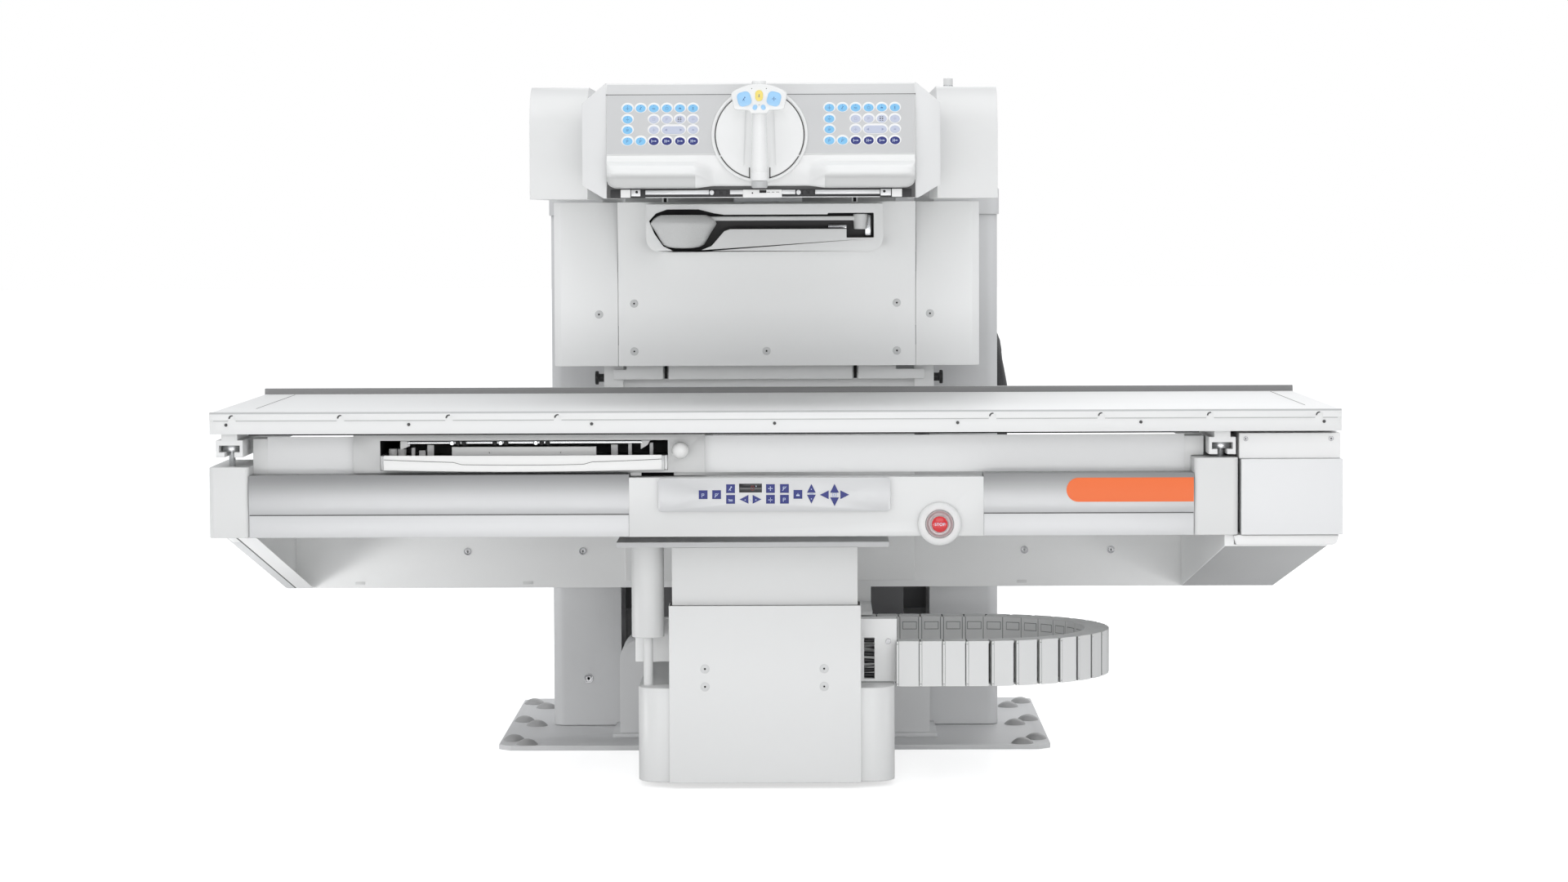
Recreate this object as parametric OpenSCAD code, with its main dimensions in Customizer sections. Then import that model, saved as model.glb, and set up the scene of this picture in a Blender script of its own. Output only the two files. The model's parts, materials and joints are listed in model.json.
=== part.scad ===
// Tilting x-ray table for fluoroscopy. A column bolted to the floor carries a
// lift carriage, and the tilting frame turns on a hub at its front. The frame
// holds the floating tabletop, the cassette tray and a travelling carriage, which
// reaches round the tabletop: the x-ray tube is below it and the detector above.
// X runs along the tabletop, Y away from the operator and Z up. The origin is
// the centre of the base plate, on the floor.

/* [Tabletop] */
// Length of the tabletop
table_length = 2100; // [1960:10:2240]
// Width of the tabletop with its two edge rails
table_width = 800; // [740:10:860]
// Height of the tabletop's upper face above the floor
table_height = 724; // [724:2:800]
// Thickness of the tabletop's panel
panel_thick = 18; // [12:1:24]
// Height of the apron under the tabletop's edges
apron_height = 40; // [36:1:44]
// Distance from the middle of the stand to the middle of the tabletop
table_x = 10; // [0:1:20]

/* [Stand] */
// Depth of the base plate
base_depth = 822; // [800:2:900]
// Thickness of the base plate
base_thick = 10; // [8:1:14]
// Width of the column over its covers
column_width = 938; // [930:2:1000]
// Height of the column's covers above the floor
column_height = 1086; // [1060:2:1200]
// Width of the pedestal in front of the column
pedestal_width = 640; // [560:2:700]
// Height of the pedestal above the floor
pedestal_height = 211; // [180:1:214]
// Radius of the holes for the floor anchors
anchor_hole_r = 7; // [6:0.5:9]
// Distance from the column's side to the outer anchors
anchor_clear = 67; // [60:1:90]
// Distance from the outer anchors to the base plate's edge
anchor_edge = 26; // [24:1:60]
// Distance between the outer anchors from front to back
anchor_span_y = 630; // [560:2:700]

/* [Tilting frame] */
// Radius of the tilt hub
hub_r = 70; // [50:1:80]
// Thickness of each end plate
end_plate_thick = 20; // [12:1:24]
// Height of the silver rails along the front
front_rail_height = 116; // [100:1:120]
// Depth of the rear beam from front to back
beam_depth = 76; // [60:1:90]

/* [Tube and detector] */
// Distance from the middle of the stand to the x-ray beam
carriage_x = -10; // [-40:1:40]
// Free height between the tabletop and the detector housing
head_clear = 407; // [400:1:440]
// Width of the detector housing's body
head_width = 575; // [560:1:600]
// Height of the detector housing
head_height = 202; // [190:1:210]
// Width of the square flat detector
detector_size = 430; // [350:10:440]
// Width of the tube housing
tube_width = 489; // [470:1:520]
// Radius of the x-ray tube's shield
shield_r = 75; // [60:1:80]
// Radius of the compression cone
cone_r = 67; // [50:1:70]

/* [Cassette unit] */
// Width of the cassette unit
bucky_width = 657; // [640:1:700]
// Width of the cassette tray's slot
slot_width = 538; // [500:1:545]
// Height of the cassette tray's slot
slot_height = 56; // [48:1:58]

/* [Sheets and clearances] */
// Thickness of the sheet-metal covers
sheet = 3; // [2:0.5:4]
// Running clearance of sliding pieces
run_gap = 0.3; // [0.2:0.05:0.5]
// Running clearance of pins and bearings
pin_gap = 0.05; // [0.03:0.01:0.09]

/* [Hidden] */
$fn = 48;

white = [0.92, 0.92, 0.90];
light_grey = [0.80, 0.81, 0.81];
mid_grey = [0.68, 0.69, 0.69];
dark_grey = [0.22, 0.22, 0.23];
silver = [0.74, 0.75, 0.76];
steel = [0.60, 0.61, 0.62];
light_blue = [0.50, 0.76, 0.92];
navy = [0.12, 0.16, 0.50];
yellow = [0.95, 0.84, 0.40];
red = [0.78, 0.08, 0.12];

// Depths, from the column forward to the tabletop's front edge
column_front = -79;
column_back = 334;
lift_plate = [column_front + sheet, column_front + sheet + 30];
bearing_y = [lift_plate[0] - 20, lift_plate[0]];
beam_back = bearing_y[0] - 9;
beam_front = beam_back - beam_depth;
rail_front = beam_front - 15;
carriage_back = rail_front - 10;
carriage_front = carriage_back - 26;
lift_y = [carriage_front - 24, carriage_front - 4];
back_panel_y = [lift_y[0] - 6, lift_y[0] - 3];
bracket_y = [back_panel_y[0] - 28, back_panel_y[0] - 23];
tower_y = bracket_y[0] - 10;
table_rear = tower_y - 21;
table_front = table_rear - table_width;
beam_y = (table_rear + table_front) / 2;

// Lengths, from the tabletop's two ends inward
table_left = table_x - table_length / 2;
table_right = table_x + table_length / 2;
left_plate = [table_left + 22, table_left + 22 + end_plate_thick];
outer_plate = [table_right - 40, table_right - 22];
inner_plate = [outer_plate[0] - 174, outer_plate[0] - 156];
left_cap = [table_left - 4, table_left + 70];
right_cap = [inner_plate[0] - 58, inner_plate[1] + 6];
box_x = [right_cap[1] + 6, table_right + 4];
cover_x = [-262, 397];

// Heights of the tilting frame, hung from the tabletop's upper face
top_z = table_height;
apron_z = top_z - apron_height;
frame_top = top_z - 124;
frame_bottom = top_z - 412;
skirt_bottom = top_z - 234;
skirt_top = skirt_bottom + front_rail_height;
hub_z = top_z - 224;
skirt_front = table_front + 15;
front_beam_y = [skirt_front + 66, skirt_front + 126];
front_beam_z = [skirt_bottom + 10, frame_top - 20];
skirt_wall = 4;

// Heights of the head, above the tabletop
head_z = top_z + head_clear;
head_top = head_z + head_height;
tower_z = [top_z + 54, head_z - 18];
tower_fold = top_z + 200;
tower_lean = 25;

// A box between two limits on each axis
module block(x, y, z)
    translate([x[0], y[0], z[0]])
        cube([x[1] - x[0], y[1] - y[0], z[1] - z[0]]);

// An outline of Y and Z drawn out along X
module along_x(x)
    translate([x[0], 0, 0])
        rotate([90, 0, 90])
            linear_extrude(x[1] - x[0])
                children();

// An outline of X and Z drawn out along Y
module along_y(y)
    translate([0, y[1], 0])
        rotate([90, 0, 0])
            linear_extrude(y[1] - y[0])
                children();

// An outline of X and Y drawn out along Z
module along_z(z)
    translate([0, 0, z[0]])
        linear_extrude(z[1] - z[0])
            children();

// Round bars along X, Y and Z, each at a place in the other two axes
module bar_x(x, at, r)
    translate([x[0], at[0], at[1]])
        rotate([0, 90, 0])
            cylinder(h = x[1] - x[0], r = r);

module bar_y(y, at, r)
    translate([at[0], y[0], at[1]])
        rotate([-90, 0, 0])
            cylinder(h = y[1] - y[0], r = r);

module bar_z(z, at, r)
    translate([at[0], at[1], z[0]])
        cylinder(h = z[1] - z[0], r = r);

// A flat rectangle between two limits on each axis, with rounded corners
module round_rect(a, b, r) {
    translate([a[0] + r, b[0]])
        square([a[1] - a[0] - 2 * r, b[1] - b[0]]);
    translate([a[0], b[0] + r])
        square([a[1] - a[0], b[1] - b[0] - 2 * r]);
    for (u = [a[0] + r, a[1] - r], v = [b[0] + r, b[1] - r])
        translate([u, v])
            circle(r);
}

function grow(limits, by) = [limits[0] - by, limits[1] + by];
function about(middle, half) = [middle - half, middle + half];

// ---- Stand ----

cap_r = 23;
cap_height = 12;
anchor_x = column_width / 2 + anchor_clear;
inner_anchor_x = anchor_x - 31;
inner_anchor_shift = 75;
post_x = [column_width / 2 - 134, column_width / 2 - 14];
post_y = [-40, 120];
post_wall = 8;
frame_height = column_height - 6;
opening_x = column_width / 2 - 144;
guide_rail_y = [20, 50];
guide_rail_x = [post_x[0] - 15, post_x[0]];
spindle_y = 60;
spindle_r = 16;
rear_return = 40;
cable_inlet = [600, 140];

module base_plate() {
    chamfer = 25;
    half_x = anchor_x + anchor_edge;
    half_y = base_depth / 2;
    color(mid_grey)
        difference() {
            along_z([0, base_thick])
                polygon([[-half_x + chamfer, -half_y], [half_x - chamfer, -half_y],
                    [half_x, -half_y + chamfer], [half_x, half_y - chamfer],
                    [half_x - chamfer, half_y], [-half_x + chamfer, half_y],
                    [-half_x, half_y - chamfer], [-half_x, -half_y + chamfer]]);
            for (x = [-1, 1], y = [-1, 0, 1])
                bar_z([-1, base_thick + 1], [x * anchor_x, y * anchor_span_y / 2],
                    anchor_hole_r);
        }
}

// Domed caps: the outer ones are hollow, over the anchor nuts
module dome_cap(hollow) {
    ball_r = (cap_r * cap_r + cap_height * cap_height) / (2 * cap_height);
    difference() {
        intersection() {
            translate([0, 0, base_thick + cap_height - ball_r])
                sphere(ball_r);
            bar_z([base_thick, base_thick + cap_height + 1], [0, 0], cap_r + 5);
        }
        if (hollow)
            bar_z([base_thick - 1, base_thick + cap_height - 3], [0, 0], anchor_hole_r + 5);
    }
}

module anchor_caps() {
    color(light_grey) {
        for (x = [-1, 1], y = [-1, 0, 1])
            translate([x * anchor_x, y * anchor_span_y / 2, 0])
                dome_cap(true);
        for (x = [-1, 1], y = [-1, 0, 1])
            translate([x * inner_anchor_x, y * (anchor_span_y / 2 - 2) - inner_anchor_shift, 0])
                dome_cap(false);
    }
}

// Two box posts, a cross channel over them, a back plate and two guide rails
module column_frame() {
    inner = [post_x[0] + post_wall, post_x[1] - post_wall];
    color(mid_grey)
        union() {
            for (side = [0, 1])
                mirror([side, 0, 0]) {
                    difference() {
                        block(post_x, post_y, [base_thick, frame_height]);
                        block(inner, grow(post_y, -post_wall), [base_thick - 1, frame_height + 1]);
                    }
                    block(guide_rail_x, guide_rail_y, [base_thick + 50, frame_height - 50]);
                }
            difference() {
                block([-post_x[0], post_x[0]], post_y, [frame_height - 40, frame_height]);
                block([-post_x[0], post_x[0]], grow(post_y, -post_wall),
                    [frame_height - 41, frame_height - post_wall]);
            }
            block([-post_x[1], post_x[1]], [post_y[1], post_y[1] + 6], [base_thick, frame_height]);
        }
}

// Folded side covers with rounded front corners, and the flat rear cover with the
// inlet for the mains and generator cables at its foot
module side_cover() {
    half = column_width / 2;
    corner = 24;
    difference() {
        along_z([base_thick + 1, column_height])
            difference() {
                union() {
                    round_rect([opening_x, half], [column_front, column_back], corner);
                    translate([opening_x, column_front])
                        square([corner, column_back - column_front]);
                    translate([half - corner, column_back - corner])
                        square([corner, corner]);
                }
                round_rect([opening_x - corner, half - sheet],
                    [column_front + sheet, column_back - sheet], corner - sheet);
            }
        block([opening_x - 1, half - rear_return], [column_back - sheet - 1, column_back + 1],
            [base_thick, column_height + 1]);
    }
    block([opening_x, opening_x + sheet], [column_front, post_y[0] - 4],
        [base_thick + 1, column_height]);
    for (z = [base_thick + 150, column_height - 200])
        block([post_x[1], half - sheet], about(20, 15), about(z, 20));
}

module column_covers() {
    color(light_grey) {
        side_cover();
        mirror([1, 0, 0])
            side_cover();
        difference() {
            block(about(0, column_width / 2 - rear_return + 12), [column_back, column_back + 2],
                [base_thick + 1, column_height]);
            block(about(0, cable_inlet[0] / 2), [column_back - 1, column_back + 3],
                [base_thick, base_thick + cable_inlet[1]]);
        }
    }
}

module column_top_cap() {
    half = column_width / 2 + 4;
    cap_y = [column_front - 4, column_back + 6];
    cap_z = [column_height, column_height + 54];
    corner = 26;
    color(light_grey)
        union() {
            difference() {
                along_z(cap_z)
                    round_rect([-half, half], cap_y, corner);
                along_z([cap_z[0] - 1, cap_z[1] - sheet])
                    round_rect(grow([-half, half], -sheet), grow(cap_y, -sheet), corner - sheet);
            }
            for (side = [0, 1])
                mirror([side, 0, 0])
                    block(grow(post_x, -10), grow(post_y, -20), [frame_height, cap_z[1] - sheet]);
        }
}

// A sheet housing for the lift drive, with rounded upper edges and a foot flange
module pedestal() {
    half = pedestal_width / 2;
    front = column_front - 190;
    corner = 40;
    color(light_grey)
        difference() {
            union() {
                along_y([front, column_front])
                    difference() {
                        round_rect([-half, half], [base_thick - corner, pedestal_height], corner);
                        translate([-half - 1, base_thick - corner - 1])
                            square([2 * half + 2, corner + 1]);
                    }
                block(about(0, half + 15), [front - 15, column_front], [base_thick, base_thick + 8]);
            }
            along_y([front + sheet, column_front + 1])
                round_rect(grow([-half, half], -sheet), [base_thick - corner, pedestal_height - sheet],
                    corner - sheet);
        }
}

// Screw spindle with its gear motor at the foot
module lift_spindle() {
    color(steel)
        union() {
            bar_z([base_thick, frame_height - post_wall], [0, spindle_y], spindle_r);
            bar_z([base_thick, base_thick + 150], [0, spindle_y], 45);
            block(about(0, 60), [post_y[0] - 30, spindle_y], [base_thick, base_thick + 110]);
        }
}

// Textile cable sleeve, led out of the rear cover and back into it
sleeve_r = 46;
sleeve_path = [[300, 336, 1000], [330, 383, 985], [390, 400, 910], [446, 400, 810],
    [468, 400, 700], [468, 400, 570], [442, 400, 440], [385, 380, 340], [340, 336, 300]];
sleeve_sides = 12;
function unit(v) = v / norm(v);
function heading(p, i) = unit(p[min(i + 1, len(p) - 1)] - p[max(i - 1, 0)]);
function across(t) = unit([1, 0, 0] - t[0] * t);
function tube_points(p, r, n) = [for (i = [0 : len(p) - 1], k = [0 : n - 1])
    let (flat = i == 0 || i == len(p) - 1,
        t = flat ? [0, i == 0 ? 1 : -1, 0] : heading(p, i),
        u = across(t), v = cross(t, u), a = 360 * k / n)
    p[i] + r * (u * cos(a) + v * sin(a))];
function tube_faces(rings, n) = concat(
    [[for (k = [0 : n - 1]) k]],
    [for (i = [0 : rings - 2], k = [0 : n - 1])
        let (a = i * n + k, b = i * n + (k + 1) % n) [a, a + n, b + n, b]],
    [[for (k = [n - 1 : -1 : 0]) (rings - 1) * n + k]]);

module cable_sleeve() {
    color(dark_grey)
        polyhedron(points = tube_points(sleeve_path, sleeve_r, sleeve_sides),
            faces = tube_faces(len(sleeve_path), sleeve_sides));
}

// ---- Lift carriage ----

lift_z = [hub_z - 267, hub_z + 125];

module lift_carriage() {
    web_x = [240, 270];
    shoe_y = [guide_rail_y[0] - 10, guide_rail_y[1] + 10];
    nut_z = about(hub_z - 70, 30);
    color(dark_grey)
        difference() {
            union() {
                block(about(0, web_x[1]), lift_plate, lift_z);
                for (side = [0, 1])
                    mirror([side, 0, 0]) {
                        block(web_x, [lift_plate[1], shoe_y[1]], lift_z);
                        for (z = [lift_z[0] + 57, lift_z[1] - 55])
                            block([web_x[1], guide_rail_x[0] - run_gap], shoe_y, about(z, 40));
                    }
                block(about(0, 60), [lift_plate[1], spindle_y + 45], nut_z);
            }
            bar_y(grow(lift_plate, 1), [0, hub_z], hub_r + 5);
            bar_z(grow(nut_z, 1), [0, spindle_y], spindle_r + run_gap);
        }
}

module tilt_bearing() {
    color(steel)
        difference() {
            bar_y(bearing_y, [0, hub_z], hub_r + 50);
            bar_y(grow(bearing_y, 1), [0, hub_z], hub_r);
        }
}

// ---- Tilting frame ----

rail_spread = 130;
rail_z = about(hub_z + 5, rail_spread / 2);
rail_half = 10;
beam_wall = 6;
shelf_x = [120, 200];

module rear_beam() {
    beam_x = [left_plate[1], outer_plate[0]];
    beam_y = [beam_front, beam_back];
    beam_z = [frame_bottom, frame_top];
    shelf_y = [chain_back_y - link_depth / 2, beam_front];
    color(white)
        union() {
            difference() {
                block(beam_x, beam_y, beam_z);
                block(beam_x, [beam_y[0] + beam_wall, beam_y[1] + 1], grow(beam_z, -beam_wall));
            }
            block(about(0, 160), [beam_back - beam_wall, beam_back], beam_z);
            bar_y([beam_back - 1, bearing_y[0] - run_gap], [0, hub_z], hub_r + 40);
            bar_y([beam_back - 1, lift_plate[1] - 14], [0, hub_z], hub_r - pin_gap);
            block(shelf_x, shelf_y, [frame_bottom - 38, frame_bottom - 30]);
            block(shelf_x, [beam_front - 8, beam_front], [frame_bottom - 38, frame_bottom + 40]);
        }
}

module travel_rails() {
    color(steel)
        for (z = rail_z)
            block([left_plate[1] + 98, inner_plate[0] - 66], [rail_front, beam_front],
                about(z, rail_half));
}

// The lower edge of an end plate falls from the front to the rear beam
module end_outline(front_z)
    polygon([[skirt_front + 16, front_z], [beam_front, frame_bottom], [beam_back, frame_bottom],
        [beam_back, frame_top], [skirt_front + 16, frame_top]]);

module left_end_plate() {
    color(white)
        along_x(left_plate)
            end_outline(skirt_bottom + 2);
}

module right_end_frame() {
    front_z = skirt_bottom - 22;
    color(white)
        union() {
            difference() {
                along_x(inner_plate)
                    end_outline(front_z);
                along_x(grow(inner_plate, 1))
                    translate([beam_front, frame_bottom - 1])
                        square([beam_depth + 1, frame_top - frame_bottom + 2]);
            }
            along_x(outer_plate)
                end_outline(front_z);
            along_x([inner_plate[0], outer_plate[1]])
                polygon([[skirt_front + 16, front_z], [beam_front, frame_bottom],
                    [beam_front, frame_bottom + sheet], [skirt_front + 16, front_z + sheet]]);
        }
}

// Moulded caps over the front ends of the two inner plates
module end_cap(x, top) {
    cap_y = [skirt_front, skirt_front + 250];
    wall = sheet + 1;
    difference() {
        union() {
            along_z([skirt_bottom, top]) {
                round_rect(x, [cap_y[0], cap_y[0] + 60], 10);
                translate([x[0], cap_y[0] + 20])
                    square([x[1] - x[0], cap_y[1] - cap_y[0] - 20]);
            }
        }
        block(grow(x, -wall), [cap_y[0] + wall, cap_y[1] + 1], [skirt_bottom - 1, frame_top]);
        block([left_plate[1], inner_plate[0]], grow(front_beam_y, run_gap), grow(front_beam_z, run_gap));
    }
}

module end_caps() {
    color(white) {
        end_cap(left_cap, frame_top + 22);
        end_cap(right_cap, frame_top + 34);
    }
}

// Silver connection box at the right front, and its white lid
box_z = [skirt_bottom, top_z - 93];
lid_z = [box_z[1] + run_gap, box_z[1] + 48];

module junction_box() {
    box_y = [skirt_front, table_rear - 9];
    color(silver)
        union() {
            difference() {
                block(box_x, box_y, box_z);
                block(grow(box_x, -sheet), [box_y[0] + sheet, box_y[1] + 1],
                    [box_z[0] - 1, box_z[1] - sheet]);
            }
            block(outer_plate, [box_y[0] + 30, box_y[1] - 30], [frame_top, box_z[1] - 1]);
        }
    color(white)
        difference() {
            block(box_x + [-3, -3], [box_y[0] + 15, box_y[1] - 10], lid_z);
            block(grow(box_x, -sheet) + [-3, -3], [box_y[0] + 15 + sheet, box_y[1] - 10 - sheet],
                [lid_z[0] - 1, lid_z[1] - sheet]);
        }
}

// Drawn aluminium skirts with a convex face over a flat lower strip
module skirt_outline(back) {
    strip = 42;
    bulge_r = 240;
    mid = (skirt_bottom + strip + skirt_top) / 2;
    difference() {
        union() {
            translate([skirt_front + 3, skirt_bottom])
                square([back - skirt_front - 3, strip]);
            intersection() {
                translate([skirt_front + bulge_r, mid])
                    circle(bulge_r);
                translate([skirt_front, skirt_bottom + strip])
                    square([back - skirt_front, front_rail_height - strip]);
            }
        }
        translate([skirt_front + 10, skirt_bottom + skirt_wall])
            square([back - skirt_front - 10 - skirt_wall, front_rail_height - 2 * skirt_wall]);
    }
}

module front_rails() {
    color(silver) {
        along_x([left_cap[1], cover_x[0]])
            skirt_outline(front_beam_y[0]);
        along_x([cover_x[1], right_cap[0]])
            skirt_outline(front_beam_y[0]);
    }
}

// White control cover between the two skirts
estop_x = 315;
estop_z = skirt_bottom + 23;
stem_r = 7;

module centre_cover() {
    cover_y = [skirt_front, front_beam_y[0]];
    cover_z = [skirt_bottom, skirt_top - 6];
    color(white)
        difference() {
            block(cover_x, cover_y, cover_z);
            block(grow(cover_x, -skirt_wall), grow(cover_y, -skirt_wall), grow(cover_z, -skirt_wall));
            bar_y([cover_y[0] - 1, cover_y[0] + skirt_wall + 1], [estop_x, estop_z], stem_r + 4);
        }
}

// Raised panel with its row of travel keys and a dark display
panel_x = [-208, 224];
panel_z = [skirt_bottom + 47, skirt_top - 4];
key = 16;
key_rise = 1.5;

module panel_key(x, z)
    block(about(x, key / 2), [skirt_front - 10 - key_rise, skirt_front - 10], about(z, key / 2));

module arrow_key(x, z, turn)
    along_y([skirt_front - 10 - key_rise, skirt_front - 10])
        translate([x, z])
            rotate(turn)
                polygon([[-key / 2, -key / 2], [key / 2, -key / 2], [0, key / 2]]);

module side_control_panel() {
    low = panel_z[0] + 24;
    high = low + 21;
    mid = low + 10;
    color(light_grey)
        along_y([skirt_front - 10, skirt_front])
            round_rect(panel_x, [panel_z[0], min(panel_z[1], skirt_top - 6)], 8);
    color(navy) {
        for (x = [-124, -99, 52])
            panel_key(x, mid - 2);
        for (x = [-73, 1, 27], z = [low - 1, high - 2])
            panel_key(x, z);
        arrow_key(-48, low - 1, 90);
        arrow_key(-24, low - 1, -90);
        arrow_key(77, high - 2, 0);
        arrow_key(77, low - 1, 180);
        arrow_key(120, high - 2, 0);
        arrow_key(120, low - 6, 180);
        arrow_key(101, mid - 3, 90);
        arrow_key(139, mid - 3, -90);
    }
    color([0.08, 0.08, 0.09])
        block([-57, -15], [skirt_front - 11, skirt_front - 10], [high - 9, high + 7]);
}

collar_y = [skirt_front - 14, skirt_front];
collar_r = 40;
collar_bore = 25;

module estop_collar() {
    color(light_grey)
        difference() {
            bar_y(collar_y, [estop_x, estop_z], collar_r);
            bar_y([collar_y[0] - 1, collar_y[1] - 5], [estop_x, estop_z], collar_bore);
            bar_y(grow(collar_y, 1), [estop_x, estop_z], stem_r + run_gap);
        }
}

module estop_button() {
    color(red)
        union() {
            bar_y([collar_y[0] - 10, collar_y[0] + 2], [estop_x, estop_z], 15);
            bar_y([collar_y[0], collar_y[1] + 10], [estop_x, estop_z], stem_r);
        }
}

// Box beam across the front, with the two white posts of the cassette bay
bay_x = [left_cap[1] + 33, right_cap[0] - 18];
post_top = top_z - 52;

module front_beam() {
    beam_x = [left_plate[1], inner_plate[0]];
    color(white)
        union() {
            difference() {
                block(beam_x, front_beam_y, front_beam_z);
                block(beam_x, grow(front_beam_y, -5), grow(front_beam_z, -5));
            }
            block([left_cap[1], bay_x[0]], front_beam_y, [front_beam_z[1], post_top]);
            block([bay_x[1], right_cap[0]], front_beam_y, [front_beam_z[1], post_top]);
            block([bay_x[1], right_cap[0] + 24], front_beam_y, [frame_top + 35, post_top]);
        }
}

guide_rod_at = [table_rear - 99, top_z - 100];
guide_rod_r = 10;

// Ground rod with a clamp block on each end plate
module cassette_guide_rod() {
    color(steel)
        union() {
            bar_x([left_plate[0], inner_plate[1]], guide_rod_at, guide_rod_r);
            for (plate = [left_plate, inner_plate])
                block(plate, about(guide_rod_at[0], 22), [frame_top, guide_rod_at[1] + guide_rod_r + 3]);
        }
}

// Rollers in the T-slots of the tabletop's two channels
channel_x = [left_plate[0] + 12, inner_plate[0] - 5];
channel_half = 25;
channel_z = [apron_z - 44, apron_z - 12];
roller_z = about((channel_z[0] + channel_z[1]) / 2, 6);
roller_y = [skirt_front + 46, table_rear - 199];

module guide_rollers() {
    tops = [frame_top + 22, frame_top + 34];
    color(steel)
        for (i = [0, 1]) {
            bar_z([tops[i], roller_z[1]], [channel_x[i], roller_y[0]], 6);
            bar_z(roller_z, [channel_x[i], roller_y[0]], 19);
            block(about(channel_x[i], 19), about(roller_y[1], 15), [frame_top, frame_top + 12]);
            bar_z([frame_top, roller_z[1]], [channel_x[i], roller_y[1]], 6);
            bar_z(roller_z, [channel_x[i], roller_y[1]], 19);
        }
}

// Roller blinds that close the cassette bay on both sides of the unit
bucky_left = bay_x[0] + 158;
bucky_x = [bucky_left, bucky_left + bucky_width];
blind_z = [top_z - 118, top_z - 49];

module slot_curtains() {
    blind_y = [front_beam_y[0] - 2, front_beam_y[0]];
    color(light_grey) {
        block([bay_x[0] - 5, bucky_x[0]], blind_y, blind_z);
        block([bucky_x[1], bay_x[1] + 5], blind_y, blind_z);
    }
}

// ---- Tabletop ----

bead_r = 7;
edge_y = [table_front + 2 * bead_r, table_rear - 12];

module tabletop() {
    wall = 12;
    color(white)
        union() {
            block([table_left, table_right], edge_y, [top_z - panel_thick, top_z]);
            difference() {
                block([table_left, table_right], edge_y, [apron_z, top_z - panel_thick / 2]);
                block([table_left + wall, table_right - wall], grow(edge_y, -wall),
                    [apron_z - 1, top_z - panel_thick]);
            }
            for (i = [0, 1])
                block(about(channel_x[i], 18), edge_y, [apron_z, top_z - panel_thick / 2]);
        }
}

// Front rail with a rounded bead, notched for accessories
module accessory_rail() {
    notch_r = 8;
    color(white)
        difference() {
            union() {
                block([table_left, table_right], [table_front + 3, edge_y[0]],
                    [apron_z, top_z - bead_r]);
                bar_x([table_left, table_right], [table_front + bead_r, top_z - bead_r + 1], bead_r);
                block([table_left, table_right], [table_front + bead_r, edge_y[0]],
                    [top_z - 2 * bead_r, top_z + 1]);
            }
            for (side = [-1, 1], x = [400, 600, 800, 1000])
                bar_z([apron_z - 1, top_z + 2], [table_x + side * x, table_front], notch_r);
        }
}

module rear_rail() {
    color(dark_grey)
        along_x([table_left, table_right])
            polygon([[edge_y[1], apron_z], [table_rear, apron_z], [table_rear, top_z + 12],
                [edge_y[1] + 3, top_z + 12], [edge_y[1], top_z + 6]]);
}

module tabletop_channels() {
    channel_y = [table_front + 21, table_rear - 19];
    color(white)
        for (x = channel_x)
            difference() {
                union() {
                    block(about(x, channel_half), channel_y, channel_z);
                    block(about(x, 15), channel_y, [channel_z[1], apron_z]);
                }
                block(about(x, 19 + run_gap), grow(channel_y, 1), grow(roller_z, run_gap));
                block(about(x, 9), grow(channel_y, 1), [channel_z[0] - 1, roller_z[0]]);
            }
}

// ---- Travelling carriage ----

frame_half = 340;
plate_half = 300;
arm_y = [table_front + 221, carriage_front];
arm_z = [top_z - 339, top_z - 279];
hanger_z = [top_z - 266, top_z - 256];
hanger_y = [beam_y - 239, beam_y + 161];
tower_top = head_top - 13;

module carriage_frame() {
    plate_y = [carriage_front, carriage_back];
    color(light_grey)
        union() {
            block(about(carriage_x, plate_half), plate_y, [top_z - 394, top_z - 60]);
            block(about(carriage_x, frame_half), plate_y, [top_z - 64, top_z + 36]);
            for (side = [-1, 1])
                block(about(carriage_x + side * (plate_half + 20), 20),
                    [carriage_front - 18, carriage_back - 4], [top_z - 24, tower_top]);
            block(about(carriage_x, plate_half), [carriage_back - 10, carriage_back - 4],
                [tower_top - 60, tower_top]);
            for (side = [-1, 1], z = rail_z)
                difference() {
                    block(about(carriage_x + side * 220, 40), [carriage_back, beam_front - run_gap],
                        about(z, 20));
                    block(about(carriage_x + side * 220, 41), [rail_front - run_gap, beam_front],
                        about(z, rail_half + run_gap));
                }
        }
}

// White back panel with the two slots that the head's fins run in
fin_x = [carriage_x - 212, carriage_x + 178];
fin_half = 3;

module tower_back_panel() {
    panel_x = [carriage_x - 293, carriage_x + 262];
    color(white)
        union() {
            difference() {
                block(panel_x, back_panel_y, [top_z + 25, head_top - 8]);
                for (x = fin_x)
                    block(about(x, fin_half + 3), grow(back_panel_y, 1), [top_z + 24, head_top - 23]);
            }
            for (z = [top_z + 25, head_top - 28]) {
                block([carriage_x - 320, panel_x[0] + 1], back_panel_y, [z, z + 20]);
                block([panel_x[1] - 1, carriage_x + 320], back_panel_y, [z, z + 20]);
                for (side = [-1, 1])
                    block(about(carriage_x + side * (plate_half + 10), 10),
                        [back_panel_y[0], carriage_front - 18], [z, z + 20]);
            }
        }
}

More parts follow.
